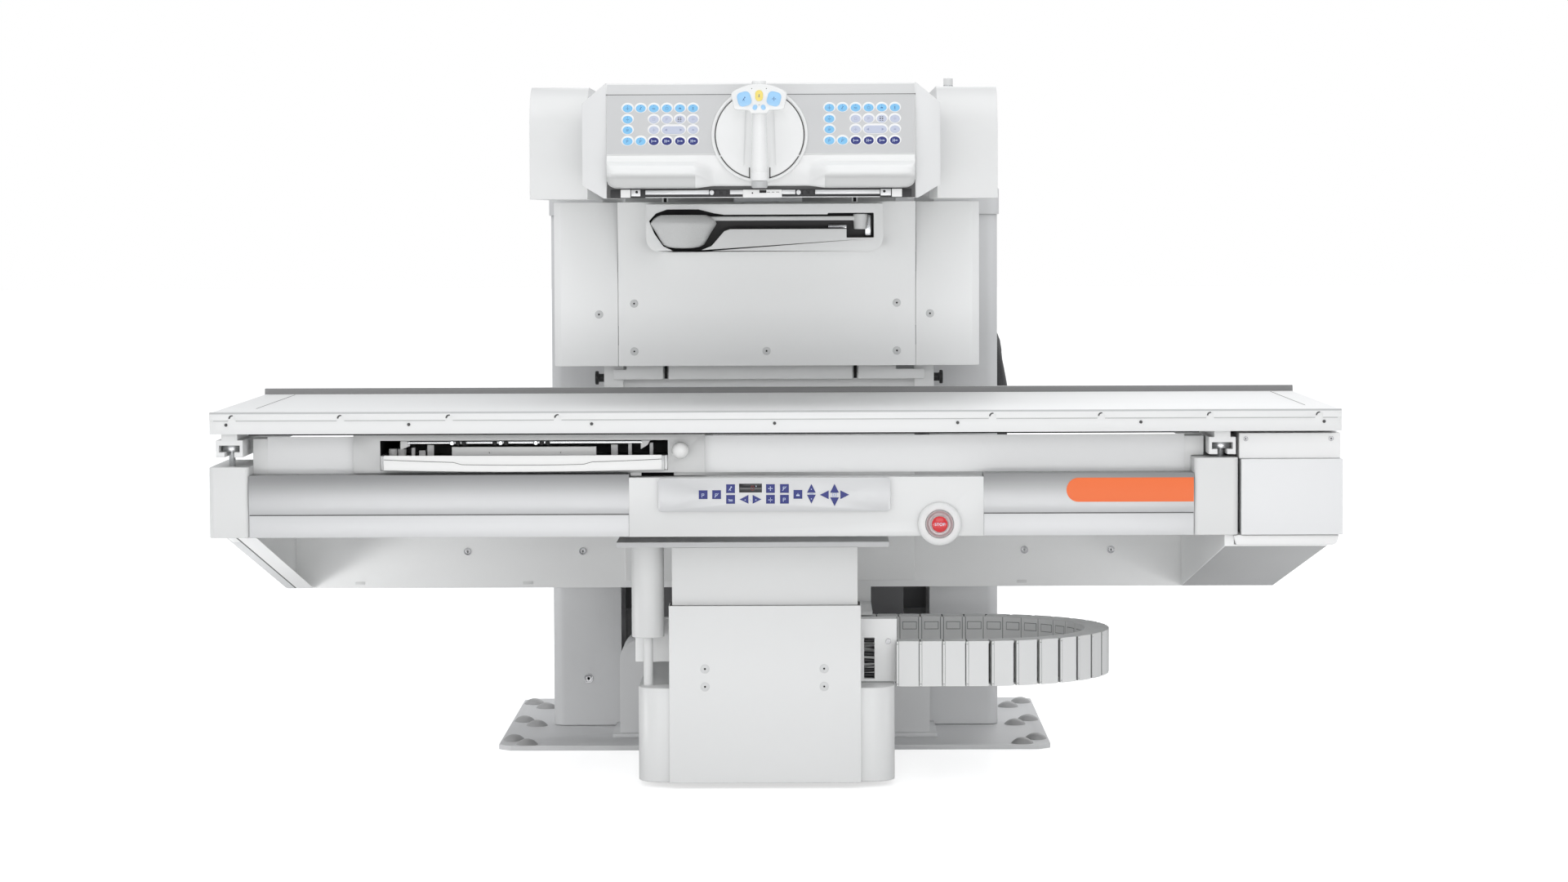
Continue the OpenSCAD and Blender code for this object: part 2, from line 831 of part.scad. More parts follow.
// Two tube-steel arms below the tabletop, with the plate that the tube hangs on
module tube_arm() {
    color(light_grey)
        difference() {
            union() {
                for (side = [-1, 1]) {
                    block(about(carriage_x + side * 140, 20), arm_y, arm_z);
                    for (y = [arm_y[0], hanger_y[1] - 60])
                        block(about(carriage_x + side * 140, 20), [y, y + 60],
                            [arm_z[1] - 1, hanger_z[0] + 1]);
                    block(about(carriage_x + side * 140, 20), [carriage_front - 60, carriage_front],
                        [arm_z[0], arm_z[1] + 80]);
                }
                block([carriage_x - 284, carriage_x + 234], hanger_y, hanger_z);
            }
            block(about(carriage_x, 100), about(beam_y, 110), grow(hanger_z, 1));
            for (side = [-1, 1])
                block(about(carriage_x + side * 140, 14), [arm_y[0] - 1, carriage_front - 66],
                    grow(arm_z, -6));
        }
}

upper_front = beam_y - 240;
flange_depth = 68;

module upper_tube_cover() {
    cover_x = [carriage_x - 178, carriage_x + 174];
    cover_z = [top_z - 484, hanger_z[0]];
    color(white)
        union() {
            block(cover_x, [upper_front, upper_front + sheet], cover_z);
            for (x = [cover_x[0], cover_x[1] - sheet])
                block([x, x + sheet], [upper_front, upper_front + 58], cover_z);
        }
}

actuator_at = [carriage_x - 226, upper_front + 56];
actuator_rod_r = 9;

module actuator_cylinder() {
    tube_z = [top_z - 441, hanger_z[0]];
    color(white)
        difference() {
            bar_z(tube_z, actuator_at, 31);
            bar_z([tube_z[0] - 1, tube_z[1] - 8], actuator_at, actuator_rod_r + pin_gap);
        }
}

// Cable box between the arms and the tube, with a window where the cables pass
box_top = top_z - 412;
box_low = top_z - 493;
cable_box_y = [upper_front + 93, upper_front + 141];

module cable_box() {
    box_right = carriage_x + 250;
    color(white)
        difference() {
            union() {
                block([carriage_x - 252, box_right], cable_box_y, [box_low, box_top]);
                block([carriage_x + 60, box_right], cable_box_y, [box_low - 40, box_low + 1]);
                for (side = [-1, 1])
                    block(about(carriage_x + side * 140, 20), [cable_box_y[0], cable_box_y[0] + 20],
                        [box_top - 1, arm_z[0]]);
            }
            block([carriage_x - 249, box_right + 1], grow(cable_box_y, -sheet),
                [box_low + sheet, box_top - sheet]);
            block([carriage_x + 63, box_right + 1], grow(cable_box_y, -sheet),
                [box_low - 37, box_low + sheet + 1]);
            block([carriage_x + 187, carriage_x + 207], grow(cable_box_y, 1), [box_low - 34, box_low + 8]);
        }
}

// Cable chain: a flat loop of links from the cable box back to the frame's shelf
chain_z = [top_z - 539, top_z - 452];
link_depth = 50;
link_pitch = 45;
chain_gap = 6;
chain_r = 247;
chain_front_y = upper_front + 86;
chain_back_y = chain_front_y + 2 * chain_r;
bend_x = carriage_x + 401;
chain_start = carriage_x + 250;

// The chain's course seen from above, a given half width and lengthened at its ends
module chain_course(half, spare) {
    translate([chain_start - spare, chain_front_y - half])
        square([bend_x - chain_start + spare, 2 * half]);
    translate([shelf_x[0] - spare, chain_back_y - half])
        square([bend_x - shelf_x[0] + spare, 2 * half]);
    translate([bend_x, chain_front_y + chain_r])
        intersection() {
            difference() {
                circle(chain_r + half);
                circle(chain_r - half);
            }
            translate([0, -chain_r - half])
                square([chain_r + half, 2 * (chain_r + half)]);
        }
}

// The gap between two links, cut into the outer side plates
module link_gap(side)
    block([-chain_gap / 2, chain_gap / 2], side < 0 ? [-link_depth / 2 - 1, -link_depth / 2 + 4]
        : [link_depth / 2 - 4, link_depth / 2 + 1], grow(chain_z, 1));

module cable_chain() {
    bend_links = 17;
    color(light_grey)
        difference() {
            along_z(chain_z)
                chain_course(link_depth / 2, 0);
            along_z(grow(chain_z, -10))
                chain_course(link_depth / 2 - 8, 1);
            for (x = [bend_x - link_pitch : -link_pitch : chain_start + 10])
                translate([x, chain_front_y, 0])
                    link_gap(-1);
            for (x = [bend_x - link_pitch : -link_pitch : shelf_x[0] + 10])
                translate([x, chain_back_y, 0])
                    link_gap(1);
            for (i = [0 : bend_links - 1])
                translate([bend_x, chain_front_y + chain_r, 0])
                    rotate((i + 0.5) * 180 / bend_links)
                        translate([0, -chain_r, 0])
                            link_gap(-1);
        }
}

// ---- Tube unit ----

tube_x = [carriage_x - tube_width / 2, carriage_x + tube_width / 2];
tube_y = [upper_front, beam_y + 240];
tube_z = [top_z - 714, top_z - 534];
front_x = [carriage_x - 184, carriage_x + 180];
front_y = [upper_front - 12, upper_front - 12 + sheet];
front_z = [tube_z[0], top_z - 376];

module tube_front_cover() {
    color(white)
        union() {
            block(front_x, front_y, front_z);
            for (x = [front_x[0], front_x[1] - sheet]) {
                block([x, x + sheet], [front_y[0], upper_front], front_z);
                block([x, x + sheet], [front_y[0], upper_front + flange_depth], [tube_z[1] + 12, front_z[1]]);
            }
        }
}

// Lead-lined housing with a rounded front, open above for the collimator
module tube_housing() {
    corner = 50;
    wall = 8;
    color(white)
        union() {
            difference() {
                along_z(tube_z)
                    round_rect(tube_x, tube_y, corner);
                along_z([tube_z[0] + wall, tube_z[1] - wall])
                    round_rect(grow(tube_x, -wall), grow(tube_y, -wall), corner - wall);
                block(about(carriage_x, 92), about(beam_y, 92), [tube_z[1] - wall - 1, tube_z[1] + 1]);
            }
            bar_z([tube_z[1] - 1, hanger_z[0] - 18], actuator_at, actuator_rod_r);
        }
}

// Tube shield with its two cable horns, two saddles and the collimator above
module xray_tube() {
    centre_z = tube_z[0] + 8 + 4 + shield_r;
    color(steel)
        union() {
            bar_x(about(carriage_x, 180), [beam_y, centre_z], shield_r);
            for (side = [-1, 1]) {
                bar_y([beam_y, beam_y + shield_r + 45], [carriage_x + side * 120, centre_z], 28);
                block(about(carriage_x + side * 100, 12), about(beam_y, 60), [tube_z[0] + 8, centre_z]);
            }
            block(about(carriage_x, 90), about(beam_y, 90), [centre_z + 40, top_z - 394]);
        }
}

// ---- Head ----

head_x = about(carriage_x - 5, head_width / 2);
head_front = table_front + 80;
ear_x = [[carriage_x - 448, carriage_x - 338], [carriage_x + 329, carriage_x + 444]];
ear_y = [table_front + 241, tower_y + 85];
ear_z = [head_z - 13, head_top];
arm_plate = 20;
bar_height = 160;
bar_z_limits = [head_z + 9, head_z + 9 + bar_height];
fin_height = 300;
carrier_width = 480;
carrier_step = 96;
cross_bar = [820, 40];
cross_bar_pitch = 150;

// How far the leaning upper cover stands forward at a height
function lean_at(z) = tower_lean * (z - tower_fold) / (tower_z[1] - tower_fold);

module head_bracket() {
    fin_z = [top_z + 76, top_z + 76 + fin_height];
    cross_bar_z = fin_z[0] + 20;
    color(steel)
        union() {
            block(about(carriage_x, plate_half - run_gap), lift_y, fin_z);
            for (x = fin_x)
                block(about(x, fin_half), [bracket_y[1] - 1, lift_y[0] + 1], fin_z);
            block(about(carriage_x, carrier_width / 2), bracket_y, [fin_z[0], fin_z[1] - carrier_step]);
            for (z = [cross_bar_z, cross_bar_z + cross_bar_pitch])
                block(about(carriage_x, cross_bar[0] / 2), bracket_y, [z, z + cross_bar[1]]);
            block(about(carriage_x, 70), bracket_y, [fin_z[0], bar_z_limits[1]]);
            block([ear_x[0][0] + 38, ear_x[1][1] - 38], [bracket_y[0] - 30, bracket_y[0]], bar_z_limits);
            for (side = [0, 1])
                block([side ? ear_x[1][1] - 38 - arm_plate : ear_x[0][0] + 38,
                        side ? ear_x[1][1] - 38 : ear_x[0][0] + 38 + arm_plate],
                    [ear_y[0] + 80, bracket_y[0] - 1], [head_z + 39, head_z + 149]);
            for (y = [ear_y[0] + 120, bracket_y[0] - 140]) {
                block([ear_x[0][0] + sheet, ear_x[0][0] + 39], [y, y + 40], [head_z + 69, head_z + 109]);
                block([ear_x[1][1] - 39, ear_x[1][1] - sheet], [y, y + 40], [head_z + 69, head_z + 109]);
            }
        }
}

screw_x = [carriage_x - 166, carriage_x + 166];
screw_z = [top_z + 116, top_z + 266];

// Folded front cover: the upper half leans forward and is cut round the cone
cone_at = [carriage_x - 171, tower_y - 68];
cone_z = [top_z + 295, top_z + 360];
pivot_at = [carriage_x + 188, tower_y - 68];
plate_z = [top_z + 287, top_z + 385];
plate_front = tower_y - 50;

module tower_front_cover() {
    cover_x = [carriage_x - 307, carriage_x + 301];
    color(white)
        union() {
            difference() {
                along_x(cover_x)
                    polygon([[tower_y, tower_z[0]], [tower_y, tower_fold],
                        [tower_y - tower_lean, tower_z[1]], [tower_y - tower_lean + sheet, tower_z[1]],
                        [tower_y + sheet, tower_fold], [tower_y + sheet, tower_z[0]]]);
                bar_z([cone_z[0] - 9, cone_z[1] + 9], cone_at, cone_r + 8);
            }
            for (x = screw_x, z = screw_z)
                bar_y([tower_y + sheet - lean_at(max(z, tower_fold)) - 1, bracket_y[0]], [x, z], 8);
        }
}

module tower_side_covers() {
    outer = [carriage_x - 439, carriage_x + 432];
    inner = [carriage_x - 308, carriage_x + 302];
    rear = tower_y + 90;
    chamfer = 14;
    color(white)
        for (side = [0, 1]) {
            out = side ? -1 : 1;
            union() {
                along_z(tower_z)
                    polygon([[inner[side], tower_y], [outer[side] + out * chamfer, tower_y],
                        [outer[side], tower_y + chamfer], [outer[side], rear],
                        [outer[side] + out * sheet, rear], [outer[side] + out * sheet, tower_y + chamfer + 1],
                        [outer[side] + out * (chamfer + 1), tower_y + sheet],
                        [inner[side], tower_y + sheet]]);
                for (z = [top_z + 116, top_z + 266])
                    bar_y([tower_y + sheet - 1, bracket_y[0]], [inner[side] - out * 80, z], 8);
            }
        }
}

// Convex side arms with round front ends, open toward the housing at the ties
module ear_outline(y, z, r)
    intersection() {
        translate([y[0], z[0]])
            square([y[1] - y[0], z[1] - z[0]]);
        union() {
            translate([y[0] + r, z[1] - r])
                circle(r);
            translate([y[0] + r, z[0]])
                square([y[1] - y[0], z[1] - z[0]]);
            translate([y[0], z[0]])
                square([y[1] - y[0], z[1] - z[0] - r]);
        }
    }

tie_height = 60;
tie_z = [head_z + 79, head_z + 79 + tie_height];

module ear_covers() {
    round_r = 90;
    color(white)
        for (side = [0, 1])
            difference() {
                along_x(ear_x[side])
                    ear_outline(ear_y, ear_z, round_r);
                along_x(grow(ear_x[side], -sheet))
                    ear_outline([ear_y[0] + sheet, ear_y[1] + 1], grow(ear_z, -sheet), round_r - sheet);
                block(about(carriage_x, frame_half + 2), [bracket_y[0] - 31, ear_y[1] + 1],
                    grow(ear_z, 1));
            }
    color(steel) {
        bar_z([head_top, head_top + 16], [ear_x[1][0] + 25, ear_y[0] + 130], 9);
    }
}

// Detector housing: a chamfered shell with cheeks, open below for the detector
housing_rear = bracket_y[0] - 30;
detector_y = about(beam_y + 31, detector_size / 2);
shell = 5;

module housing_outline(inset) {
    low = head_z + inset;
    high = head_top - inset;
    left = head_x[0] - 30 + inset;
    right = head_x[1] + 30 - inset;
    polygon([[left + 30, low], [right - 30, low], [right, low + 60], [right, high - 40],
        [right - 30, high], [left + 30, high], [left, high - 40], [left, low + 60]]);
}

module detector_housing() {
    color(white)
        difference() {
            union() {
                along_y([head_front, housing_rear])
                    housing_outline(0);
                block([ear_x[0][1], ear_x[1][0]], [beam_y - 40, beam_y + 60], tie_z);
            }
            along_y([head_front + shell, housing_rear - shell])
                housing_outline(shell);
            block(about(carriage_x, detector_size / 2 + run_gap), grow(detector_y, run_gap),
                [head_z - 1, head_z + shell + 1]);
        }
}

// Flat detector in its opening, with the grid's guide rail across below
module flat_detector() {
    lip = 8;
    color(dark_grey)
        union() {
            block(about(carriage_x, detector_size / 2), detector_y, [head_z + 2, head_z + 42]);
            block(about(carriage_x, detector_size / 2 + lip), grow(detector_y, lip),
                [head_z + shell, head_z + shell + 12]);
        }
    color(steel)
        difference() {
            block(head_x, [detector_y[0] - 40, detector_y[0] - 12], [head_z - 11, head_z]);
            block(grow(head_x, 1), [detector_y[0] - 41, detector_y[0] - 34], [head_z - 7, head_z - 4]);
        }
}

// The fascia leans back a little over the front of the housing
fascia_z = [head_z + 69, head_top - 10];
fascia_lean = 20;
fascia_foot = head_front - 20;
fascia_angle = atan(fascia_lean / (fascia_z[1] - fascia_z[0]));

module on_fascia()
    translate([0, fascia_foot, fascia_z[0]])
        rotate([90 - fascia_angle, 0, 0])
            children();

module control_fascia() {
    color(light_grey)
        along_x(head_x)
            polygon([[fascia_foot, fascia_z[0]], [fascia_foot + fascia_lean, fascia_z[1]],
                [head_front, fascia_z[1]], [head_front, fascia_z[0] - 20]]);
}

// Oval keys in two fields of six columns, with a wide key in the third row
key_pitch_x = 24.4;
key_rows = [87, 66, 46, 25];
key_size = [18, 14];
key_fields = [carriage_x - 253, carriage_x + 123];
key_depth = 2;

module oval_key(x, row, width) {
    r = key_size[1] / 2;
    translate([x, key_rows[row], 0])
        linear_extrude(key_depth)
            round_rect(about(0, width / 2), about(0, r), r - 0.01);
}

module keypad_keys() {
    blue_keys = [for (c = [0 : 5]) [c, 0], [0, 1], [0, 2], [0, 3], [1, 3]];
    pale_keys = [[2, 1], [3, 1], [5, 1], [2, 2], [5, 2]];
    navy_keys = [for (c = [2 : 5]) [c, 3]];
    on_fascia()
        for (x0 = key_fields) {
            color(light_blue)
                for (k = blue_keys)
                    oval_key(x0 + k[0] * key_pitch_x, k[1], key_size[0]);
            color([0.76, 0.79, 0.86]) {
                for (k = pale_keys)
                    oval_key(x0 + k[0] * key_pitch_x, k[1], key_size[0]);
                oval_key(x0 + 3.5 * key_pitch_x, 2, key_size[0] + key_pitch_x);
                oval_key(x0 + 4 * key_pitch_x, 1, key_size[0]);
            }
            color(navy)
                for (k = navy_keys)
                    oval_key(x0 + k[0] * key_pitch_x, k[1], key_size[0]);
        }
}

// Grab bars under the fascia, with a finger gap behind each
grip_x = [[head_x[0], head_x[0] + 163], [head_x[1] - 163, head_x[1]]];
grip_z = [head_z + 8, head_z + 48];
grip_y = [head_front - 47, head_front - 25];

module grips() {
    color(light_grey)
        for (x = grip_x)
            difference() {
                along_z(grip_z)
                    round_rect(x, [grip_y[0], head_front + 12], 11);
                block(grow(x, 20), [head_front, head_front + 20], grow(grip_z, 1));
                block(grow(x, -20), [grip_y[1], head_front + 1], grow(grip_z, 1));
            }
}

// Steering handle: a round dished plate carries the pivot pin of the grip
disc_at = [carriage_x - 7, 36];
disc_r = 90;
disc_thick = 6;
stick_y = fascia_foot - 42;
pivot_z = head_z + 25;
pivot_pin_r = 6;
boss_depth = 24;
stick_r = 14;

module handle_bezel() {
    color(light_grey)
        union() {
            on_fascia()
                translate([disc_at[0], disc_at[1], 0])
                    difference() {
                        cylinder(h = disc_thick, r = disc_r);
                        translate([0, 0, disc_thick / 2])
                            cylinder(h = disc_thick, r = disc_r - 8);
                    }
            bar_y([stick_y - boss_depth / 2, fascia_foot], [disc_at[0], pivot_z], pivot_pin_r);
            bar_y([stick_y + stick_r + run_gap, head_front], [disc_at[0], pivot_z], 18);
            block(about(disc_at[0], 12), [fascia_foot - 12, fascia_foot], [pivot_z, fascia_z[0]]);
        }
}

fan_z = [head_z + 150, head_top + 2];
fan_y = about(stick_y, 20);
button_travel = 2;
button_rise = 5;
button_pocket = button_travel + run_gap;
big_button = [25, 26];
big_button_x = [disc_at[0] - 27.5, disc_at[0] + 27.5];
big_button_z = fan_z[0] + 20;
yellow_r = 8;
yellow_z = big_button_z + 6;
rocker = [24, 10];
rocker_z = yellow_z - yellow_r - rocker[1] / 2 - 8;

module button_slot(x, z, size, gap)
    block(about(x, size[0] / 2 + gap), [fan_y[0] - 1, fan_y[0] + 6 + button_pocket],
        about(z, size[1] / 2 + run_gap));

module handle_grip() {
    color(white)
        difference() {
            union() {
                bar_y(about(stick_y, boss_depth / 2), [disc_at[0], pivot_z], 16);
                bar_z([pivot_z, fan_z[0] + 6], [disc_at[0], stick_y], stick_r);
                along_y(fan_y)
                    polygon([[disc_at[0] - 18, fan_z[0] - 6], [disc_at[0] + 18, fan_z[0] - 6],
                        [disc_at[0] + 46, fan_z[0]], [disc_at[0] + 51, fan_z[0] + 28],
                        [disc_at[0] + 34, fan_z[0] + 42], [disc_at[0] - 34, fan_z[0] + 42],
                        [disc_at[0] - 51, fan_z[0] + 28], [disc_at[0] - 46, fan_z[0]]]);
                bar_z([fan_z[0], fan_z[1]], [disc_at[0], stick_y], stick_r - 1);
            }
            bar_y(about(stick_y, stick_r + 1), [disc_at[0], pivot_z], pivot_pin_r + pin_gap);
            for (x = big_button_x)
                button_slot(x, big_button_z, big_button, run_gap);
            button_slot(disc_at[0], rocker_z, rocker, 1);
            bar_y([fan_y[0] - 1, fan_y[0] + 6 + button_pocket], [disc_at[0], yellow_z],
                yellow_r + run_gap);
        }
}

module big_button(x) {
    color(light_blue)
        block(about(x, big_button[0] / 2), [fan_y[0] - button_rise, fan_y[0] + 6],
            about(big_button_z, big_button[1] / 2));
}

module button_left() {
    big_button(big_button_x[0]);
}

module button_right() {
    big_button(big_button_x[1]);
}

module button_yellow() {
    color(yellow)
        bar_y([fan_y[0] - button_rise, fan_y[0] + 6], [disc_at[0], yellow_z], yellow_r);
}

module rocker_key() {
    color(navy)
        block(about(disc_at[0], rocker[0] / 2), [fan_y[0] - 2, fan_y[0] + 5],
            about(rocker_z, rocker[1] / 2));
}

// Carrier of the compression cone, seated on the leaning cover
cone_pin_r = 6;
cone_arm_z = [top_z + 350, top_z + 364];

module cone_plate() {
    plate_x = [carriage_x - 247, carriage_x + 234];
    color(white)
        union() {
            difference() {
                along_x(plate_x)
                    polygon([[plate_front, plate_z[0]], [plate_front, plate_z[1]],
                        [tower_y - lean_at(plate_z[1]), plate_z[1]],
                        [tower_y - lean_at(plate_z[0]), plate_z[0]]]);
                bar_z(grow(plate_z, 1), cone_at, cone_r + 6);
            }
            for (z = [[plate_z[0] + 29, cone_arm_z[0] - run_gap], [cone_arm_z[1] + run_gap, plate_z[1] - 4]])
                block(about(pivot_at[0], 18), [pivot_at[1] - 14, plate_front + 1], z);
            bar_z([cone_arm_z[0] - 1, cone_arm_z[1] + 1], pivot_at, cone_pin_r);
        }
}

module compression_cone() {
    cup_z = cone_z;
    wall = 4;
    color(white)
        union() {
            difference() {
                bar_z(cup_z, cone_at, cone_r);
                translate([cone_at[0], cone_at[1], cup_z[0] - 1])
                    cylinder(h = cup_z[1] - cup_z[0] + 1 - wall, r1 = cone_r - wall, r2 = cone_r - 3 * wall);
            }
            difference() {
                union() {
                    block([cone_at[0], pivot_at[0]], about(cone_at[1], 9), cone_arm_z);
                    bar_z(cone_arm_z, pivot_at, 15);
                }
                bar_z(grow(cone_arm_z, 1), pivot_at, cone_pin_r + pin_gap);
            }
        }
}

// ---- Cassette unit ----

bucky_y = [skirt_front + 45, table_rear - 79];
bucky_z = [top_z - 117, top_z - 44];
slot_x = [bucky_left + 50, bucky_left + 50 + slot_width];
slot_z = [bucky_z[0] + 5, bucky_z[0] + 5 + slot_height];
tray_depth = 501;
tray_y = [bucky_y[0], bucky_y[0] + tray_depth];
knob_at = [bucky_x[1] - 45, top_z - 74];
knob_stem_r = 5;

module cassette_unit() {
    color(white)
        difference() {
            union() {
                block(bucky_x, bucky_y, bucky_z);
                for (x = [bucky_x[0] + 60, bucky_x[1] - 120])
                    block([x, x + 60], [front_beam_y[0] + 10, front_beam_y[1] - 10],
                        [front_beam_z[1] + run_gap, bucky_z[0] + 1]);
            }
            block(slot_x, [bucky_y[0] - 1, tray_y[1] + 90], slot_z);
            block([bucky_x[0] + 5, slot_x[0] - 5], [bucky_y[0] + 5, bucky_y[1] + 1], grow(bucky_z, -5));
            block([slot_x[1] + 5, bucky_x[1] - 5], [bucky_y[0] + 30, bucky_y[1] + 1], grow(bucky_z, -5));
            bar_x(grow(bucky_x, 1), guide_rod_at, guide_rod_r + run_gap);
            bar_y([bucky_y[0] - 1, bucky_y[0] + 31], knob_at, knob_stem_r + pin_gap);
        }
}

module cassette_tray() {
    pan_x = grow(slot_x, -run_gap);
    pan_z = [slot_z[0] + run_gap, slot_z[0] + 28];
    lip_x = grow(slot_x, -6);
    sagitta = 25;
    chord = lip_x[1] - lip_x[0];
    lip_r = (chord * chord / 4 + sagitta * sagitta) / (2 * sagitta);
    lip_front = tray_y[0] - 15;
    mid_x = (lip_x[0] + lip_x[1]) / 2;
    color(steel)
        union() {
            difference() {
                block(pan_x, tray_y, pan_z);
                block(grow(pan_x, -sheet), grow(tray_y, -sheet), [pan_z[0] + sheet, pan_z[1] + 1]);
            }
            along_z(pan_z)
                union() {
                    intersection() {
                        translate([mid_x, lip_front - sagitta + lip_r])
                            circle(lip_r, $fn = 360);
                        translate([lip_x[0], lip_front - sagitta - 1])
                            square([chord, sagitta + 2]);
                    }
                    translate([lip_x[0], lip_front])
                        square([chord, tray_y[0] - lip_front + 1]);
                }
            block(about(mid_x, 135), [tray_y[0] + 1, tray_y[0] + 13], [pan_z[0] + 20, slot_z[1] - 12]);
        }
}

module lock_knob() {
    color(white)
        union() {
            translate([knob_at[0], bucky_y[0] - 26, knob_at[1]])
                sphere(16);
            bar_y([bucky_y[0] - 20, bucky_y[0] + 22], knob_at, knob_stem_r);
        }
}

// ---- All sub-parts ----

base_plate();
anchor_caps();
column_frame();
column_covers();
column_top_cap();
pedestal();
lift_spindle();
cable_sleeve();
lift_carriage();
tilt_bearing();
rear_beam();
travel_rails();
left_end_plate();
right_end_frame();
end_caps();
junction_box();
front_rails();
centre_cover();
side_control_panel();
estop_collar();
front_beam();
cassette_guide_rod();
guide_rollers();
slot_curtains();
estop_button();
tabletop();
accessory_rail();
rear_rail();
tabletop_channels();
carriage_frame();
tower_back_panel();
tube_arm();
upper_tube_cover();
actuator_cylinder();
cable_box();
cable_chain();
tube_front_cover();
tube_housing();
xray_tube();
head_bracket();
tower_front_cover();
tower_side_covers();
ear_covers();
detector_housing();
control_fascia();
keypad_keys();
grips();
handle_bezel();
flat_detector();
cone_plate();
handle_grip();
button_left();
button_right();
button_yellow();
rocker_key();
compression_cone();
cassette_unit();
cassette_tray();
lock_knob();
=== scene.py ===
import bpy
import bmesh
import json
import math
from mathutils import Matrix, Vector


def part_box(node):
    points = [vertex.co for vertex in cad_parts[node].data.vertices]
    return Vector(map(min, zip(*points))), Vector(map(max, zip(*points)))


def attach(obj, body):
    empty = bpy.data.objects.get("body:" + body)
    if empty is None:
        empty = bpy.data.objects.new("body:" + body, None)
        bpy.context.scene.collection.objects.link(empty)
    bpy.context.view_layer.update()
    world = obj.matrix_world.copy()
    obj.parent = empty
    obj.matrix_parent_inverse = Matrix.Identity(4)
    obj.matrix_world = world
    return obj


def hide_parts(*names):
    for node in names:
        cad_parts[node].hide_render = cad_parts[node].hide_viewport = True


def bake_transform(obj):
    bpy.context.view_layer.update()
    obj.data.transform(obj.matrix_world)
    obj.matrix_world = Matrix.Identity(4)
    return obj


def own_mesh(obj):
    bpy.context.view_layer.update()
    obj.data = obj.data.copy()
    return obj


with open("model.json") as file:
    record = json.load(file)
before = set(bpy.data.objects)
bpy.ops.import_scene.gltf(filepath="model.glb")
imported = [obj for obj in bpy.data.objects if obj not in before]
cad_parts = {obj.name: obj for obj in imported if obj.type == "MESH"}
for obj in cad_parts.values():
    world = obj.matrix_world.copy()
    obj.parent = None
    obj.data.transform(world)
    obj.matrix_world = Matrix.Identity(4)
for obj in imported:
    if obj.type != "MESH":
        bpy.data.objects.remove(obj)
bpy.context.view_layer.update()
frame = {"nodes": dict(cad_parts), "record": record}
scene = bpy.context.scene
nodes = frame["nodes"]

# ---- Camera, floor and studio light ----
# A long lens at chest height looks at the table's front from nine metres away. A pale
# glossy floor runs out into a white backdrop, and soft lamps stand all round.

camera_data = bpy.data.cameras.new("camera")
camera = bpy.data.objects.new("camera", camera_data)
scene.collection.objects.link(camera)
scene.camera = camera
camera_data.sensor_width = 36.0
camera_data.lens = 95.5
camera_data.clip_end = 100.0
camera_place = (0.079, -8.821, 1.095)
camera_pitch, camera_yaw, camera_roll = -3.17, 0.39, -0.22
camera.matrix_world = (
    Matrix.Translation(camera_place)
    @ Matrix.Rotation(math.radians(camera_yaw), 4, "Z")
    @ Matrix.Rotation(math.radians(90 + camera_pitch), 4, "X")
    @ Matrix.Rotation(math.radians(camera_roll), 4, "Z")
)


def add_node(tree, kind, values=()):
    """A new shader node, with constants on its own sockets."""
    node = tree.nodes.new("ShaderNode" + kind)
    for socket, value in dict(values).items():
        node.inputs[socket].default_value = value
    return node


def wire(tree, *pairs):
    """Links sockets: each pair is an output and the input that it feeds."""
    for source, target in pairs:
        tree.links.new(source, target)


scene.view_settings.view_transform = "Standard"
world = bpy.data.worlds.new("studio")
scene.world = world
world.use_nodes = True
sky = world.node_tree
sky.nodes.clear()
sky_lit = add_node(sky, "Background", {"Color": (0.90, 0.91, 0.93, 1), "Strength": 0.66})
sky_seen = add_node(sky, "Background", {"Color": (1, 1, 1, 1), "Strength": 1.0})
sky_mix = add_node(sky, "MixShader")
wire(sky,
     (add_node(sky, "LightPath").outputs["Is Camera Ray"], sky_mix.inputs["Fac"]),
     (sky_lit.outputs[0], sky_mix.inputs[1]),
     (sky_seen.outputs[0], sky_mix.inputs[2]),
     (sky_mix.outputs[0], add_node(sky, "OutputWorld").inputs["Surface"]))

floor_paint = bpy.data.materials.new("studio_floor")
floor_paint.use_nodes = True
floor_tree = floor_paint.node_tree
floor_shader = floor_tree.nodes["Principled BSDF"]
floor_shader.inputs["Base Color"].default_value = (0.86, 0.86, 0.86, 1)
floor_shader.inputs["Roughness"].default_value = 0.22
floor_shader.inputs["Emission Color"].default_value = (1, 1, 1, 1)
floor_glow = add_node(floor_tree, "Math", {1: 0.62})
floor_glow.operation = "MULTIPLY"
wire(floor_tree,
     (add_node(floor_tree, "LightPath").outputs["Is Camera Ray"], floor_glow.inputs[0]),
     (floor_glow.outputs[0], floor_shader.inputs["Emission Strength"]))
bpy.ops.mesh.primitive_plane_add(size=60, location=(0, 20, 0))
studio_floor = bpy.context.object
studio_floor.name = "studio_floor"
studio_floor.data.materials.append(floor_paint)


def soft_lamp(name, place, aim, size, watts):
    """A rectangular area lamp at a place, turned toward its aim."""
    lamp_data = bpy.data.lights.new(name, "AREA")
    lamp_data.shape = "RECTANGLE"
    lamp_data.size, lamp_data.size_y = size
    lamp_data.energy = watts
    lamp = bpy.data.objects.new(name, lamp_data)
    scene.collection.objects.link(lamp)
    lamp.location = place
    lamp.rotation_euler = (Vector(aim) - Vector(place)).to_track_quat("-Z", "Y").to_euler()


